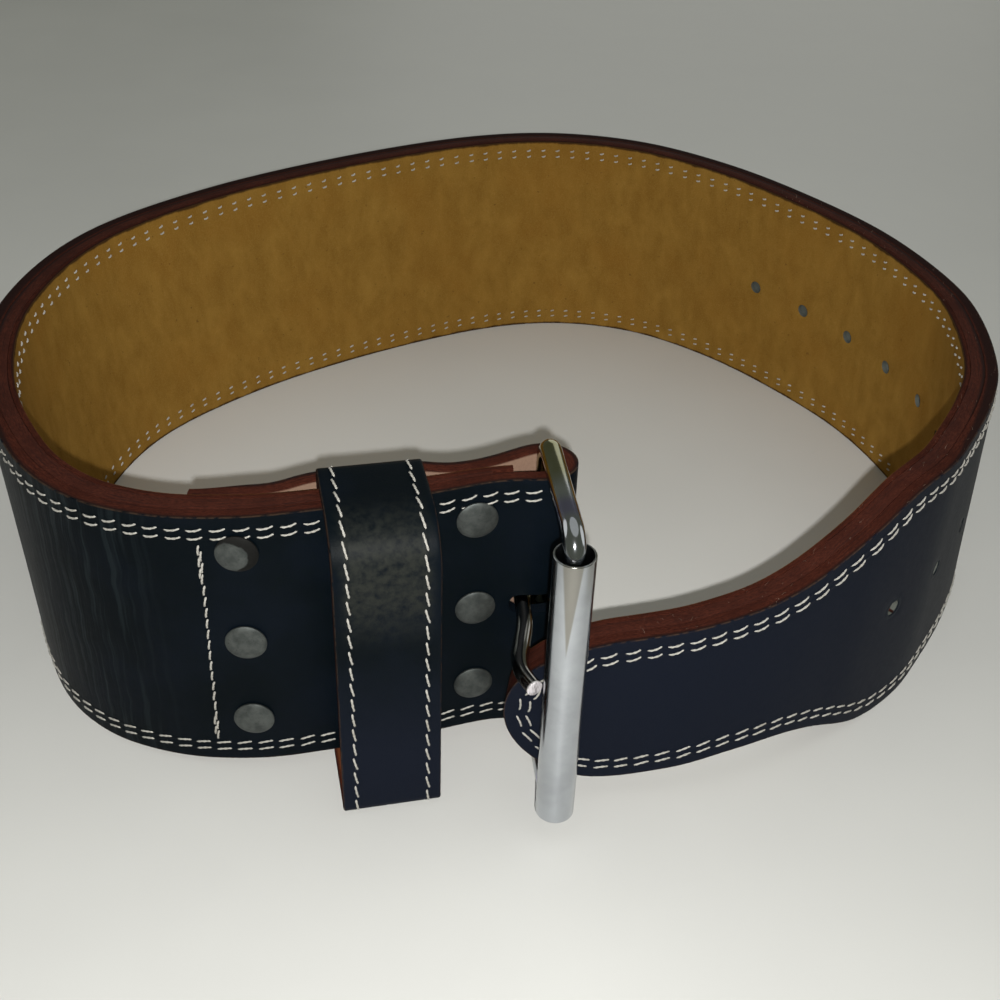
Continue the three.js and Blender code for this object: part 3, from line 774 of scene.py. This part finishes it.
def suedeFinish():
    f = Finish("tanSuede")
    run, across, depth = f.split(f.attribute("flat", "Vector"))
    edge = f.attribute("edge")
    spot = f.where()
    clouds = f.noise(spot, 38 * mm, 4, 0.6)
    brushed = f.noise(f.join(run, across * 0.5, depth), 9 * mm, 5, 0.62, 0.3)
    nap = f.noise(spot, 0.55 * mm, 3, 0.7)
    specks = f.noise(spot, 1.7 * mm, 2, 0.5)
    tan = f.blend(brushed.between(0.10, 0.95), suedeLook["dark"], suedeLook["light"])
    tan = f.blend(clouds.between(0.42, 0.72) * 0.6, tan, suedeLook["patch"])
    tan = f.blend(nap.between(0.4, 0.8) * 0.3, tan, suedeLook["nap"])
    tan = f.blend(specks.between(0.70, 0.76) * 0.5, tan, suedeLook["speck"])
    brown, _ = leatherEdge(f, run, depth + 3 * mm, spot)
    dyed = 1 - (edge + (brushed - 0.5) * 2.2 * mm).between(0.3 * mm, 1.3 * mm)
    cut = depth.between(0.12 * mm, 0.35 * mm)
    color = f.blend(cut, f.blend(dyed * 0.85, tan, brown), brown)
    walls = f.attribute("punched").between(0.4, 0.6) * depth.between(0.05 * mm, 0.2 * mm)
    color = f.blend(walls, color, hideLook["holeWall"])
    normal = f.bump(nap, 0.25 * mm, 0.7, f.bump(brushed, 0.4 * mm, 0.25))
    return f.shade(color, 0.88 + 0.08 * nap, normal, Specular_IOR_Level=0.04)


def makeLeathers():
    face = belt["grain"] / 2
    closed = leather["closed"]
    start = way.start

    def grainFace(run):
        # the flap's end is skived thin
        return face - leather["endSkive"] * (1 - smooth(run, start, start + leather["endReach"]))

    grain = layer("grainLeather", start, grainFace, lambda run: -face + 0 * run, leather["edgeRound"])
    bendRound(grain, lambda flat: face - flat[:, 2], start)
    navyGrain = grainFinish(
        "navyGrain", seams["outer"]["insets"], hideLook["flesh"], hideReach["pale"], hideReach["creases"])
    dress(grain, navyGrain, "belt", "grain_leather", "outer_leather")
    print("grain leather", len(grain.data.polygons))

    start = belt["coreStart"]
    core = layer("coreLeather", start, lambda run: coreFace + closed + 0 * run,
                 lambda run: coreFace - coreThickness(run) - closed, leather["coreRound"])
    bendRound(core, lambda flat: coreFace - flat[:, 2], start)
    dress(core, coreFinish(), "belt", "dyed_core", "core_leather")

    start = belt["liningStart"]
    lining = layer("suedeLining", start, liningFace, liningInside, leather["liningRound"])
    bendRound(lining, lambda flat: flat[:, 2] - liningInside(flat[:, 0]), start)
    dress(lining, suedeFinish(), "belt", "suede_leather", "suede_lining")
    print("core and lining", len(core.data.polygons), len(lining.data.polygons))


makeLeathers()


# the keeper is a strap bent into a loop round the belt and its flap
keeperCut = {
    "rows": (0, 5, 9, 12.5, 14.4, 15.75), "station": 4 * mm, "cornerSteps": 10, "edgeRound": 0.6 * mm,
    "butt": 0.15 * mm, "sheenAt": 189 * mm, "pale": (165 * mm, 110 * mm),
}


def keeperLine():
    # the outside of the loop in its own plane: distance out of the belt, height, and the way to the inside
    depth, height = keeper["depth"], keeper["height"]
    back, foot, head = keeper["backRadius"], keeper["footRadius"], keeper["topRadius"]
    corners = [(back, back, back), (depth - foot, foot, foot)]
    corners += [(depth - head, height - head, head), (back, height - back, back)]
    line = [(0, height / 2, 1, 0)]
    for k, (x, y, radius) in enumerate(corners):
        for step in range(keeperCut["cornerSteps"] + 1):
            turn = (180 + 90 * k + 90 * step / keeperCut["cornerSteps"]) * degree
            c, s = math.cos(turn), math.sin(turn)
            line.append((x + radius * c, y + radius * s, -c, -s))
    line.append((0, height / 2, 1, 0))
    return np.array(line)


def keeperPlace():
    run = keeper["fromFold"]
    half = keeper["width"] / 2
    runs = np.array([run - half, run, run + half])
    place, _, out, _ = way.at(runs)
    edge = place + out * liningInside(runs)[:, None]
    over = edge[2] - edge[0]
    over[2] = 0
    over /= np.linalg.norm(over)
    outward = np.cross(up, over)
    deepest = min((edge[0] - edge[1]) @ outward, (edge[2] - edge[1]) @ outward, 0)
    foot = edge[1] + outward * (deepest - belt["gap"] - keeper["thickness"])
    foot[2] = 0
    return foot + origin, outward, -over


keeperOutline = keeperLine()
keeperRun = np.concatenate([[0], np.cumsum(np.hypot(*np.diff(keeperOutline[:, :2], axis=0).T))])
keeperFoot, keeperOut, keeperSide = keeperPlace()


def keeperBent(flat):
    # from the flat strap (along, across, above its face) to its place in the frame, mirrored as the belt is
    x, y, inX, inY = [np.interp(flat[:, 0], keeperRun, keeperOutline[:, k]) for k in range(4)]
    reach = np.hypot(inX, inY)
    x = x - inX / reach * flat[:, 2]
    y = y - inY / reach * flat[:, 2]
    return keeperFoot + x[:, None] * keeperOut + y[:, None] * up + flat[:, 1:2] * keeperSide


def makeKeeper():
    end = keeperRun[-1] - keeperCut["butt"]
    stations = filled([keeperCut["butt"], *keeperRun[1:-1], end], lambda run: keeperCut["station"])
    rows = mirroredRows(keeperCut["rows"])
    strap, i, j = flatGrid("keeperLoop", stations, rows)
    putSpots(strap, np.column_stack([stations[i], rows[j], np.zeros(len(i))]))
    thickened(strap, lambda run: 0 * run, lambda run: 0 * run - keeper["thickness"], keeperCut["edgeRound"])
    flat = spotsOf(strap)
    writeOn(strap, "flat", np.column_stack([flat[:, 0], flat[:, 1], -flat[:, 2]]))
    writeOn(strap, "edge", keeper["width"] / 2 - np.abs(flat[:, 1]))
    putSpots(strap, keeperBent(flat))
    smoothShaded(strap)
    insets = (seams["keeper"]["inset"],)
    sheenAt = keeperCut["sheenAt"]
    keeperGrain = grainFinish(
        "keeperGrain", insets, hideLook["keeperFlesh"], keeperCut["pale"], bored=0.0, sheenAt=sheenAt)
    dress(strap, keeperGrain, "belt", "grain_leather", "keeper_loop")


makeKeeper()
print("keeper made")


# one stitch is modelled and copied along the seams: two plies twisted, both ends sunk into the leather
stitchForm = {
    "plyTurns": 1.6, "plyDepth": 0.32, "rings": 12, "sides": 8, "sink": 0.55 * mm,
    "uneven": 0.12 * mm, "slantUneven": 2, "seed": 7,
}


def stitchPattern(values):
    letGo()
    sides, rings = stitchForm["sides"], stitchForm["rings"]
    bpy.ops.mesh.primitive_uv_sphere_add(segments=sides, ring_count=rings, radius=1)
    pattern = named("stitchPattern")
    spots = spotsOf(pattern)
    share = np.arcsin(np.clip(spots[:, 2], -1, 1)) / (math.pi / 2)
    around = np.arctan2(spots[:, 1], spots[:, 0])
    plump = values["thread"] / 2 * np.sqrt(np.clip(1 - np.abs(share) ** 5, 0, 1))
    ply = 1 + stitchForm["plyDepth"] * np.cos(2 * (around - share * stitchForm["plyTurns"] * math.pi))
    radius = plump * ply
    along = share * values["length"] / 2
    side = radius * np.cos(around) + values["bow"] * (share**2 - 0.4)
    height = radius * np.sin(around) + values["lift"] * (1 - share**2) - stitchForm["sink"] * share**6
    putSpots(pattern, np.column_stack([along, side, height]))
    faces = [list(face.vertices) for face in pattern.data.polygons]
    shape = spotsOf(pattern)
    bpy.data.objects.remove(pattern)
    return shape, faces


def copies(shape, faces, places):
    # places are rows of along, across, turn: the shape is set down at each in the flat leather
    spots, cover = [], []
    along, aside, height = shape.T
    for k, (x, y, turn) in enumerate(places):
        c, s = math.cos(turn), math.sin(turn)
        spots.append(np.column_stack([x + along * c - aside * s, y + along * s + aside * c, height]))
        cover += [[v + k * len(shape) for v in face] for face in faces]
    return np.vstack(spots), cover


def threadPiece(name, spots, faces):
    mesh = bpy.data.meshes.new(name)
    mesh.from_pydata([tuple(s) for s in spots], [], faces)
    piece = bpy.data.objects.new(name, mesh)
    bpy.context.scene.collection.objects.link(piece)
    smoothShaded(piece, 80)
    return piece


threadLook = {"shade": (0.20, 0.19, 0.165), "light": (0.60, 0.585, 0.54), "dirt": (0.24, 0.22, 0.18)}


def threadFinish():
    f = Finish("waxedThread")
    spot = f.where()
    fibre = f.noise(spot, 0.35 * mm, 3)
    dirt = f.noise(spot, 9 * mm, 3)
    color = f.blend(fibre, threadLook["shade"], threadLook["light"])
    color = f.blend(dirt.between(0.5, 0.75) * 0.5, color, threadLook["dirt"])
    return f.shade(color, 0.62, f.bump(fibre, 0.1 * mm, 0.5), Specular_IOR_Level=0.3)


def slantOf(values, chance):
    return (values["slant"] + chance.normal(0, stitchForm["slantUneven"])) * degree


def seamLine(inset, start):
    # a line at a distance inside the belt's outline, from the upper edge round the tip to the lower edge
    turns = np.linspace(90, 0, 60) * degree
    tip = way.end - belt["tipLength"] * (1 - np.cos(turns))
    runs = np.concatenate([np.arange(start, tip[0], 0.5 * mm), tip])
    upper = np.column_stack([runs, halfWidth(runs)])
    line = np.vstack([upper, upper[-2::-1] * (1, -1)])
    tangent = np.gradient(line, axis=0)
    tangent /= np.linalg.norm(tangent, axis=1)[:, None] + 1e-12
    line = line + np.column_stack([tangent[:, 1], -tangent[:, 0]]) * inset
    return line


def alongLine(line, pitch, length, chance):
    # the middle and the turn of each stitch along a line
    lengths = np.concatenate([[0], np.cumsum(np.linalg.norm(np.diff(line, axis=0), axis=1))])
    places = []
    for middle in np.arange(pitch / 2, lengths[-1] - length / 2, pitch):
        middle = middle + chance.normal(0, stitchForm["uneven"])
        runs = (middle - length / 2, middle + length / 2)
        first, last = np.column_stack([np.interp(runs, lengths, line[:, k]) for k in (0, 1)])
        x, y = last - first
        places.append((*(first + last) / 2, math.atan2(y, x)))
    return places


def sewnPlaces(values, chance):
    # both rows are set out from the line between them, so they stay in step
    middle = sum(values["insets"]) / 2
    places = []
    for x, y, turn in alongLine(seamLine(middle, values["start"]), values["pitch"], values["length"], chance):
        for inset in values["insets"]:
            away = inset - middle
            slant = slantOf(values, chance)
            places.append((x + away * math.sin(turn), y - away * math.cos(turn), turn + slant))
    return places


fuzz = {
    "strands": 150, "from": 40 * mm, "to": 400 * mm, "length": (0.8 * mm, 2.6 * mm), "width": 0.05 * mm,
    "steps": 4, "seed": 11, "inset": 0.3 * mm, "sunk": 0.15 * mm, "turns": (0, 2.1, 4.2),
    "dark": (0.09, 0.045, 0.030), "pale": (0.30, 0.22, 0.17),
}


def makeFuzz():
    # short strands standing off the tongue's upper cut edge, each a bent three-sided thread
    chance = np.random.default_rng(fuzz["seed"])
    spots, cover = [], []
    for _ in range(fuzz["strands"]):
        run = way.end - chance.uniform(fuzz["from"], fuzz["to"])
        depth = chance.uniform(liningInside(run) + fuzz["inset"], belt["grain"] / 2 - fuzz["inset"])
        length = chance.uniform(*fuzz["length"]) * chance.uniform(0.4, 1)
        lean, fall, curl = chance.normal(0, 0.9), chance.normal(0, 0.6), chance.normal(0, 1.2)
        foot = np.array([run, halfWidth(run) - fuzz["sunk"], depth])
        first = len(spots)
        for step in range(fuzz["steps"] + 1):
            share = step / fuzz["steps"]
            reach = np.array([lean * share + curl * share**2, 1.0, fall * share])
            middle = foot + reach / np.linalg.norm(reach) * length * share
            thick = fuzz["width"] * (1 - 0.8 * share)
            for turn in fuzz["turns"]:
                spots.append(middle + thick * np.array([math.cos(turn), 0, math.sin(turn)]))
            if step:
                last = first + 3 * step
                for a, b in ((0, 1), (1, 2), (2, 0)):
                    cover.append([last + a - 3, last + b - 3, last + b, last + a])
        cover += [[first, first + 1, first + 2], [len(spots) - 1, len(spots) - 2, len(spots) - 3]]
    strands = threadPiece("edgeFuzz", way.bent(np.array(spots)), cover)
    f = Finish("looseFibre")
    tint = f.noise(f.where(), 3 * mm, 2)
    color = f.blend(tint.between(0.4, 0.6), fuzz["dark"], fuzz["pale"])
    dress(strands, f.shade(color, 0.8, Specular_IOR_Level=0.1), "belt", None)


def makeSeams():
    chance = np.random.default_rng(stitchForm["seed"])
    thread = threadFinish()

    def sewn(name, pattern, places, base, bend=way.bent):
        # the stitch is set down at its places on a face of that height, and bent round with the leather
        spots, cover = copies(*pattern, places)
        spots[:, 2] += base(spots[:, 0])
        spots = bend(spots)
        # the stitches under the keeper's foot are pressed flat by the floor
        spots[:, 2] = np.maximum(spots[:, 2], 0)
        dress(threadPiece(name, spots, cover), thread, "belt", None)

    def grainFace(run):
        return 0 * run + belt["grain"] / 2

    pattern = stitchPattern(seams["outer"])
    places = sewnPlaces(seams["outer"], chance)
    sewn("seamUpper", pattern, [place for place in places if place[1] >= 0], grainFace)
    sewn("seamLower", pattern, [place for place in places if place[1] < 0], grainFace)

    # the inside stitches are the pattern mirrored through the face, with their faces wound like the others
    shape, faces = stitchPattern(seams["inner"])
    pattern = (shape * (1, 1, -1), [face[::-1] for face in faces])
    sewn("seamInside", pattern, sewnPlaces(seams["inner"], chance), liningInside)

    values = seams["flapEnd"]
    pattern = stitchPattern(values)
    places = []
    for middle in np.arange(values["from"], values["to"], values["pitch"]):
        turn = 90 * degree + slantOf(values, chance)
        run = values["run"] - values["lean"] * middle
        places.append((run + chance.normal(0, values["uneven"]), middle, turn))
        # both ends are sewn over twice
        if middle < values["from"] + values["doubledLow"] or middle > values["to"] - values["doubledHigh"]:
            places.append((run + values["doubledAside"], middle + values["pitch"] / 2, turn))
    sewn("seamFlapEnd", pattern, places, grainFace)

    values = seams["keeper"]
    pattern = stitchPattern(values)
    places = []
    for side in (-1, 1):
        for middle in np.arange(values["pitch"], keeperRun[-1] - values["pitch"], values["pitch"]):
            places.append((middle, side * (keeper["width"] / 2 - values["inset"]), slantOf(values, chance)))
    sewn("seamKeeper", pattern, places, lambda run: 0 * run, keeperBent)


makeSeams()
makeFuzz()
print("seams sewn")


# rivets: a domed cap outside, a shank through the layers and a flat head on the flap
rivets = {
    "cap": 13 * mm, "capRim": 0.6 * mm, "capRound": 0.15 * mm, "head": 10 * mm, "headHeight": 1.2 * mm,
    "headRound": 0.2 * mm, "dimple": 1.6 * mm, "dimpleDeep": 0.35 * mm,
    "shank": 4.4 * mm, "seat": 0.15 * mm, "sides": 40,
    "left": 93.5 * mm, "right": 21.5 * mm, "heights": (0.19, 0.52, 0.87), "worn": ("left", 2),
}
# inset, rise: the steps of the cap's dome, in mm
domeSteps = ((0.35, 0.22), (0.8, 0.30), (1.2, 0.28), (1.6, 0.20), (1.5, 0.10))
pewterLook = {
    "dark": (0.056, 0.063, 0.061), "pale": (0.110, 0.120, 0.114), "speck": (0.040, 0.041, 0.037),
    "wear": (0.014, 0.014, 0.013), "wearPlace": (-2.0 * mm, -0.9 * mm), "wearFrom": (4.9 * mm, 5.5 * mm),
}


def flapFace(run):
    # from the middle of the grain leather to the far face of the flap
    back = run / belt["flapLength"]
    rows = np.array(flapRows)
    slack = np.interp(back, rows[:, 0], rows[:, 1]) * mm
    strap = np.interp(back, rows[:, 0], rows[:, 2]) * keeper["thickness"]
    return liningInside(run) - belt["gap"] - slack - strap - belt["grain"]


def pewterFinish(name, shift, scuff):
    f = Finish(name)
    spot = f.node("ShaderNodeMapping", sockets={"Vector": f.where(), "Location": (shift, shift * 0.7, 0)})
    blotch = f.noise(spot, 4 * mm, 4, 0.6)
    specks = f.noise(spot, 0.7 * mm, 3, 0.7)
    color = f.blend(blotch.between(0.3, 0.7), pewterLook["dark"], pewterLook["pale"])
    color = f.blend(specks.between(0.62, 0.72), color, pewterLook["speck"])
    # the crescent where the pewter has worn off one cap
    aside, high, _ = f.split(f.attribute("flat", "Vector"))
    middleAside, middleHigh = pewterLook["wearPlace"]
    fromWear = ((aside - middleAside) ** 2.0 + (high - middleHigh) ** 2.0) ** 0.5
    dark = (fromWear + (blotch - 0.5) * 2.5 * mm).between(*pewterLook["wearFrom"]) * scuff
    color = f.blend(dark, color, pewterLook["wear"])
    roughness = 0.44 + 0.16 * blotch + 0.2 * dark
    return f.shade(color, roughness, f.bump(specks + blotch, 0.12 * mm, 0.4), Metallic=0.85)


def rivetCap(name):
    piece = cylinder(name, rivets["sides"], rivets["cap"] / 2, rivets["capRim"], rivets["capRim"] / 2)
    selectFaces(piece, [face.normal.z > 0.9 for face in piece.data.polygons])
    for inset, rise in domeSteps:
        bpy.ops.mesh.inset(thickness=inset * mm)
        bpy.ops.transform.translate(value=(0, 0, rise * mm))
    bpy.ops.mesh.select_all(action="DESELECT")
    bpy.ops.object.mode_set(mode="OBJECT")
    rounded(piece, rivets["capRound"], 2, 60)
    return piece


def rivetHead(name, far):
    head, height = rivets["head"] / 2, rivets["headHeight"]
    piece = cylinder(name, rivets["sides"], head, height, far - height / 2)
    selectFaces(piece, [face.normal.z > 0.9 for face in piece.data.polygons])
    bpy.ops.mesh.inset(thickness=head - rivets["shank"] / 2)
    bpy.ops.mesh.extrude_region_move(TRANSFORM_OT_translate={"value": (0, 0, -far)})
    bpy.ops.object.mode_set(mode="OBJECT")
    below = far - height * 0.9
    selectFaces(piece, [face.normal.z < -0.9 and face.center.z < below for face in piece.data.polygons])
    bpy.ops.mesh.inset(thickness=rivets["dimple"])
    bpy.ops.transform.translate(value=(0, 0, rivets["dimpleDeep"]))
    bpy.ops.object.mode_set(mode="OBJECT")
    rounded(piece, rivets["headRound"], 2, 60)
    return piece


def joined(name, pieces):
    letGo()
    for piece in pieces:
        piece.select_set(True)
    bpy.context.view_layer.objects.active = pieces[0]
    bpy.ops.object.join()
    return named(name)


def makeRivets():
    face = belt["grain"] / 2
    for side, shift in (("left", 0.05), ("right", 0)):
        run = rivets[side]
        far = flapFace(run) - face - rivets["seat"]
        out, rise = [rows[0] for rows in way.at(run)[2:]]
        beside = np.cross(rise, out)
        axes = Matrix((beside, np.cross(out, beside), out)).transposed().to_4x4()
        for k, share in enumerate(rivets["heights"]):
            label = f"{side.capitalize()}{k + 1}"
            piece = joined(f"rivet{label}", [rivetCap("cap"), rivetHead("head", far)])
            writeOn(piece, "flat", spotsOf(piece))
            across = (share - 0.5) * belt["width"]
            centre = way.bent(np.array([[run, across, face + rivets["seat"]]]))[0]
            piece.data.transform(Matrix.Translation(centre) @ axes)
            smoothShaded(piece, 35)
            scuff = 1.0 if (side, k) == rivets["worn"] else 0.0
            material = pewterFinish(f"pewter{label}", 0.013 * k + shift, scuff)
            dress(piece, material, "belt", "pewter", f"rivet_{side}_{k + 1}")


makeRivets()
print("rivets set")


# the buckle: a closed wire frame, the roller on its front bar and the prong on its hinge bar
def placeOnBuckle(piece):
    # from the buckle's own plane (reach, aside, height) to the frame
    turn = Matrix.Rotation(math.atan2(buckleWay[1], buckleWay[0]), 4, "Z")
    piece.data.transform(Matrix.Translation(hingeAxis + origin) @ turn)


def wireAlong(name, line, diameter, closed):
    curve = bpy.data.curves.new(name, "CURVE")
    curve.dimensions = "3D"
    curve.bevel_depth = diameter / 2
    curve.bevel_resolution = 7
    curve.use_fill_caps = not closed
    spline = curve.splines.new("POLY")
    spline.points.add(len(line) - 1)
    for point, spot in zip(spline.points, line):
        point.co = (*spot, 1)
    spline.use_cyclic_u = closed
    wire = bpy.data.objects.new(name, curve)
    bpy.context.scene.collection.objects.link(wire)
    picked(wire)
    bpy.ops.object.convert(target="MESH")
    wire = named(name)
    selectFaces(wire, [True] * len(wire.data.polygons))
    bpy.ops.mesh.remove_doubles(threshold=0.001 * mm)
    bpy.ops.mesh.normals_make_consistent(inside=False)
    bpy.ops.object.mode_set(mode="OBJECT")
    return wire


def makeFrameWire():
    radius = buckle["wire"] / 2
    low, high, reach = radius, buckle["height"] - radius, buckle["reach"]
    near, far = buckle["hingeBend"], buckle["rollerBend"]
    # reach, height and radius of each bend's middle, with the turn at which it starts
    bends = [(reach - far, low + far, far, -90), (reach - far, high - far, far, 0),
             (near, high - near, near, 90), (near, low + near, near, 180)]
    line = []
    for across, height, bend, start in bends:
        for step in range(buckle["bendSteps"] + 1):
            turn = (start + 90 * step / buckle["bendSteps"]) * degree
            line.append((across + bend * math.cos(turn), 0, height + bend * math.sin(turn)))
    wire = wireAlong("buckleFrame", line, buckle["wire"], True)
    placeOnBuckle(wire)
    smoothShaded(wire, 60)
    return wire


roller = {
    "diameter": 12.3 * mm, "wall": 0.7 * mm, "endGap": 1 * mm, "endRound": 0.28 * mm, "sides": 72,
    "reflectionWedge": 32 * mm,
}


def makeRoller():
    low = buckle["wire"] + roller["endGap"]
    high = buckle["height"] - buckle["wire"] - roller["endGap"]
    radius, middle = roller["diameter"] / 2, (low + high) / 2
    tube = cylinder("rollerTube", roller["sides"], radius, high - low, middle, "NOTHING")
    useModifier(tube, "SOLIDIFY", thickness=roller["wall"], offset=-1, use_even_offset=True)
    rounded(tube, roller["endRound"])
    tube.data.transform(Matrix.Translation(rollerAxis + origin))
    smoothShaded(tube, 40)
    return tube


prong = {
    "diameter": 5.2 * mm, "height": 59 * mm, "running": 0.4 * mm, "endRound": 0.2 * mm,
    "eyeFrom": -40, "eyeTo": 199, "eyeStep": 34,
}
# reach, aside, fall: shares of the buckle's reach
shankRows = [(0.18, -0.11, 0.006), (0.35, -0.095, 0.025), (0.52, -0.11, 0.055), (0.64, -0.12, 0.06),
             (0.76, -0.105, 0.062), (0.905, -0.025, 0.063)]


def makeProng():
    eye = buckle["wire"] / 2 + prong["running"] + prong["diameter"] / 2
    points = []
    for angle in range(prong["eyeFrom"], prong["eyeTo"], prong["eyeStep"]):
        turn = angle * degree
        points.append(hingeAxis + (eye * math.cos(turn), eye * math.sin(turn), prong["height"]))
    for reach, aside, fall in shankRows:
        share = np.array([aside, -reach, -fall])
        points.append(hingeAxis + share * buckle["reach"] + (0, 0, prong["height"]))
    line = splineThrough(points, 8) + origin
    rod = wireAlong("prongWire", line, prong["diameter"], False)
    rounded(rod, prong["endRound"], angle=60)
    ending = line[-1] - line[-2]
    ending /= np.linalg.norm(ending)
    writeOn(rod, "tip", smooth((spotsOf(rod) - line[-1]) @ ending, -0.35 * mm, -0.15 * mm))
    smoothShaded(rod, 50)
    return rod


chromeLook = {
    "bright": (0.52, 0.545, 0.58), "prong": (0.36, 0.35, 0.335), "scratch": (0.16, 0.15, 0.14),
    "olive": (0.30, 0.295, 0.165), "violet": (0.30, 0.27, 0.55), "reflectionWedge": (0.27, 0.255, 0.22),
    "tipDark": (0.33, 0.30, 0.31), "tipPale": (0.80, 0.76, 0.78), "reflectionFrom": 22 * mm,
}


def chromeFinish(name, scratches, tint="bright", rough=0.09, worn=False, reflectionAt=None, paintedReflection=False):
    f = Finish(name)
    tint = chromeLook[tint]
    spot = f.where()
    haze = f.noise(spot, 9 * mm, 4, 0.6)
    fine = f.noise(f.stretch(spot, (1.0, 1.0, 0.06)), 0.5 * mm, 3, 0.6)
    ringed = f.noise(f.stretch(spot, (0.2, 0.2, 1.0)), 0.6 * mm, 3, 0.65)
    marks = f.noise(spot, 2.2 * mm, 5, 0.75).between(0.64, 0.70) * ringed.between(0.5, 0.75)
    color = f.blend(haze.between(0.35, 0.75), tint, tuple(0.86 * t for t in tint))
    color = f.blend(marks * scratches, color, chromeLook["scratch"])
    roughness = rough + 0.10 * scratches * haze + 0.35 * scratches * marks
    normal = f.bump(fine + ringed * scratches + marks * 2, 0.02 * mm, 0.25)
    if reflectionAt:
        # painted reflection and highlight: an olive reflection towards the hinge and a violet highlight at the
        # front bend
        _, deep, _ = f.split(spot)
        olive = deep.between(reflectionAt - 6 * mm, reflectionAt + 4 * mm)
        violet = 1 - (deep - reflectionAt + 14 * mm).size().between(1 * mm, 7 * mm)
        color = f.blend(olive * (0.65 + 0.5 * haze), color, chromeLook["olive"])
        color = f.blend(violet * 0.7, color, chromeLook["violet"])
    if paintedReflection:
        # painted reflection: a dull brown wedge that narrows downward from the roller's upper end, and a
        # brownish side below that end
        aside, _, high = f.split(spot)
        turn = (aside - float((rollerAxis + origin)[0])) / (roller["diameter"] / 2)
        down = (float(rollerHigh.z) - high) / roller["reflectionWedge"]
        reflectionWedge = (turn - 0.44 * down).between(-0.62, -0.50) * (1 - (turn + 0.48 * down).between(0.32, 0.42))
        reflectionSide = turn.between(0.40, 0.75) * (1 - down.between(0.0, 0.6)) * 0.6
        color = f.blend(reflectionWedge * 0.85 + reflectionSide, color, chromeLook["reflectionWedge"])
    metal = 1.0
    if worn:
        tip = f.attribute("tip")
        dull = f.noise(f.stretch(spot, (1, 1, 0.25)), 0.8 * mm, 4, 0.7)
        bare = f.blend(dull.between(0.4, 0.6), chromeLook["tipDark"], chromeLook["tipPale"])
        color = f.blend(tip, color, bare)
        roughness = roughness + tip * 0.35
        metal = 1 - tip * 0.7
    return f.shade(color, roughness, normal, Metallic=metal)


def makeBuckle():
    reflectionAt = (hingeAxis + origin)[1] - chromeLook["reflectionFrom"]
    frameChrome = chromeFinish("frameChrome", 0.35, reflectionAt=reflectionAt)
    dress(makeFrameWire(), frameChrome, "buckle", "chrome", "buckle_frame")
    rollerChrome = chromeFinish("rollerChrome", 1.0, rough=0.13, paintedReflection=True)
    dress(makeRoller(), rollerChrome, "roller", "chrome", "roller")
    prongChrome = chromeFinish("prongChrome", 0.5, "prong", 0.12, worn=True)
    dress(makeProng(), prongChrome, "prong", "chrome", "prong")


makeBuckle()
print("buckle made")
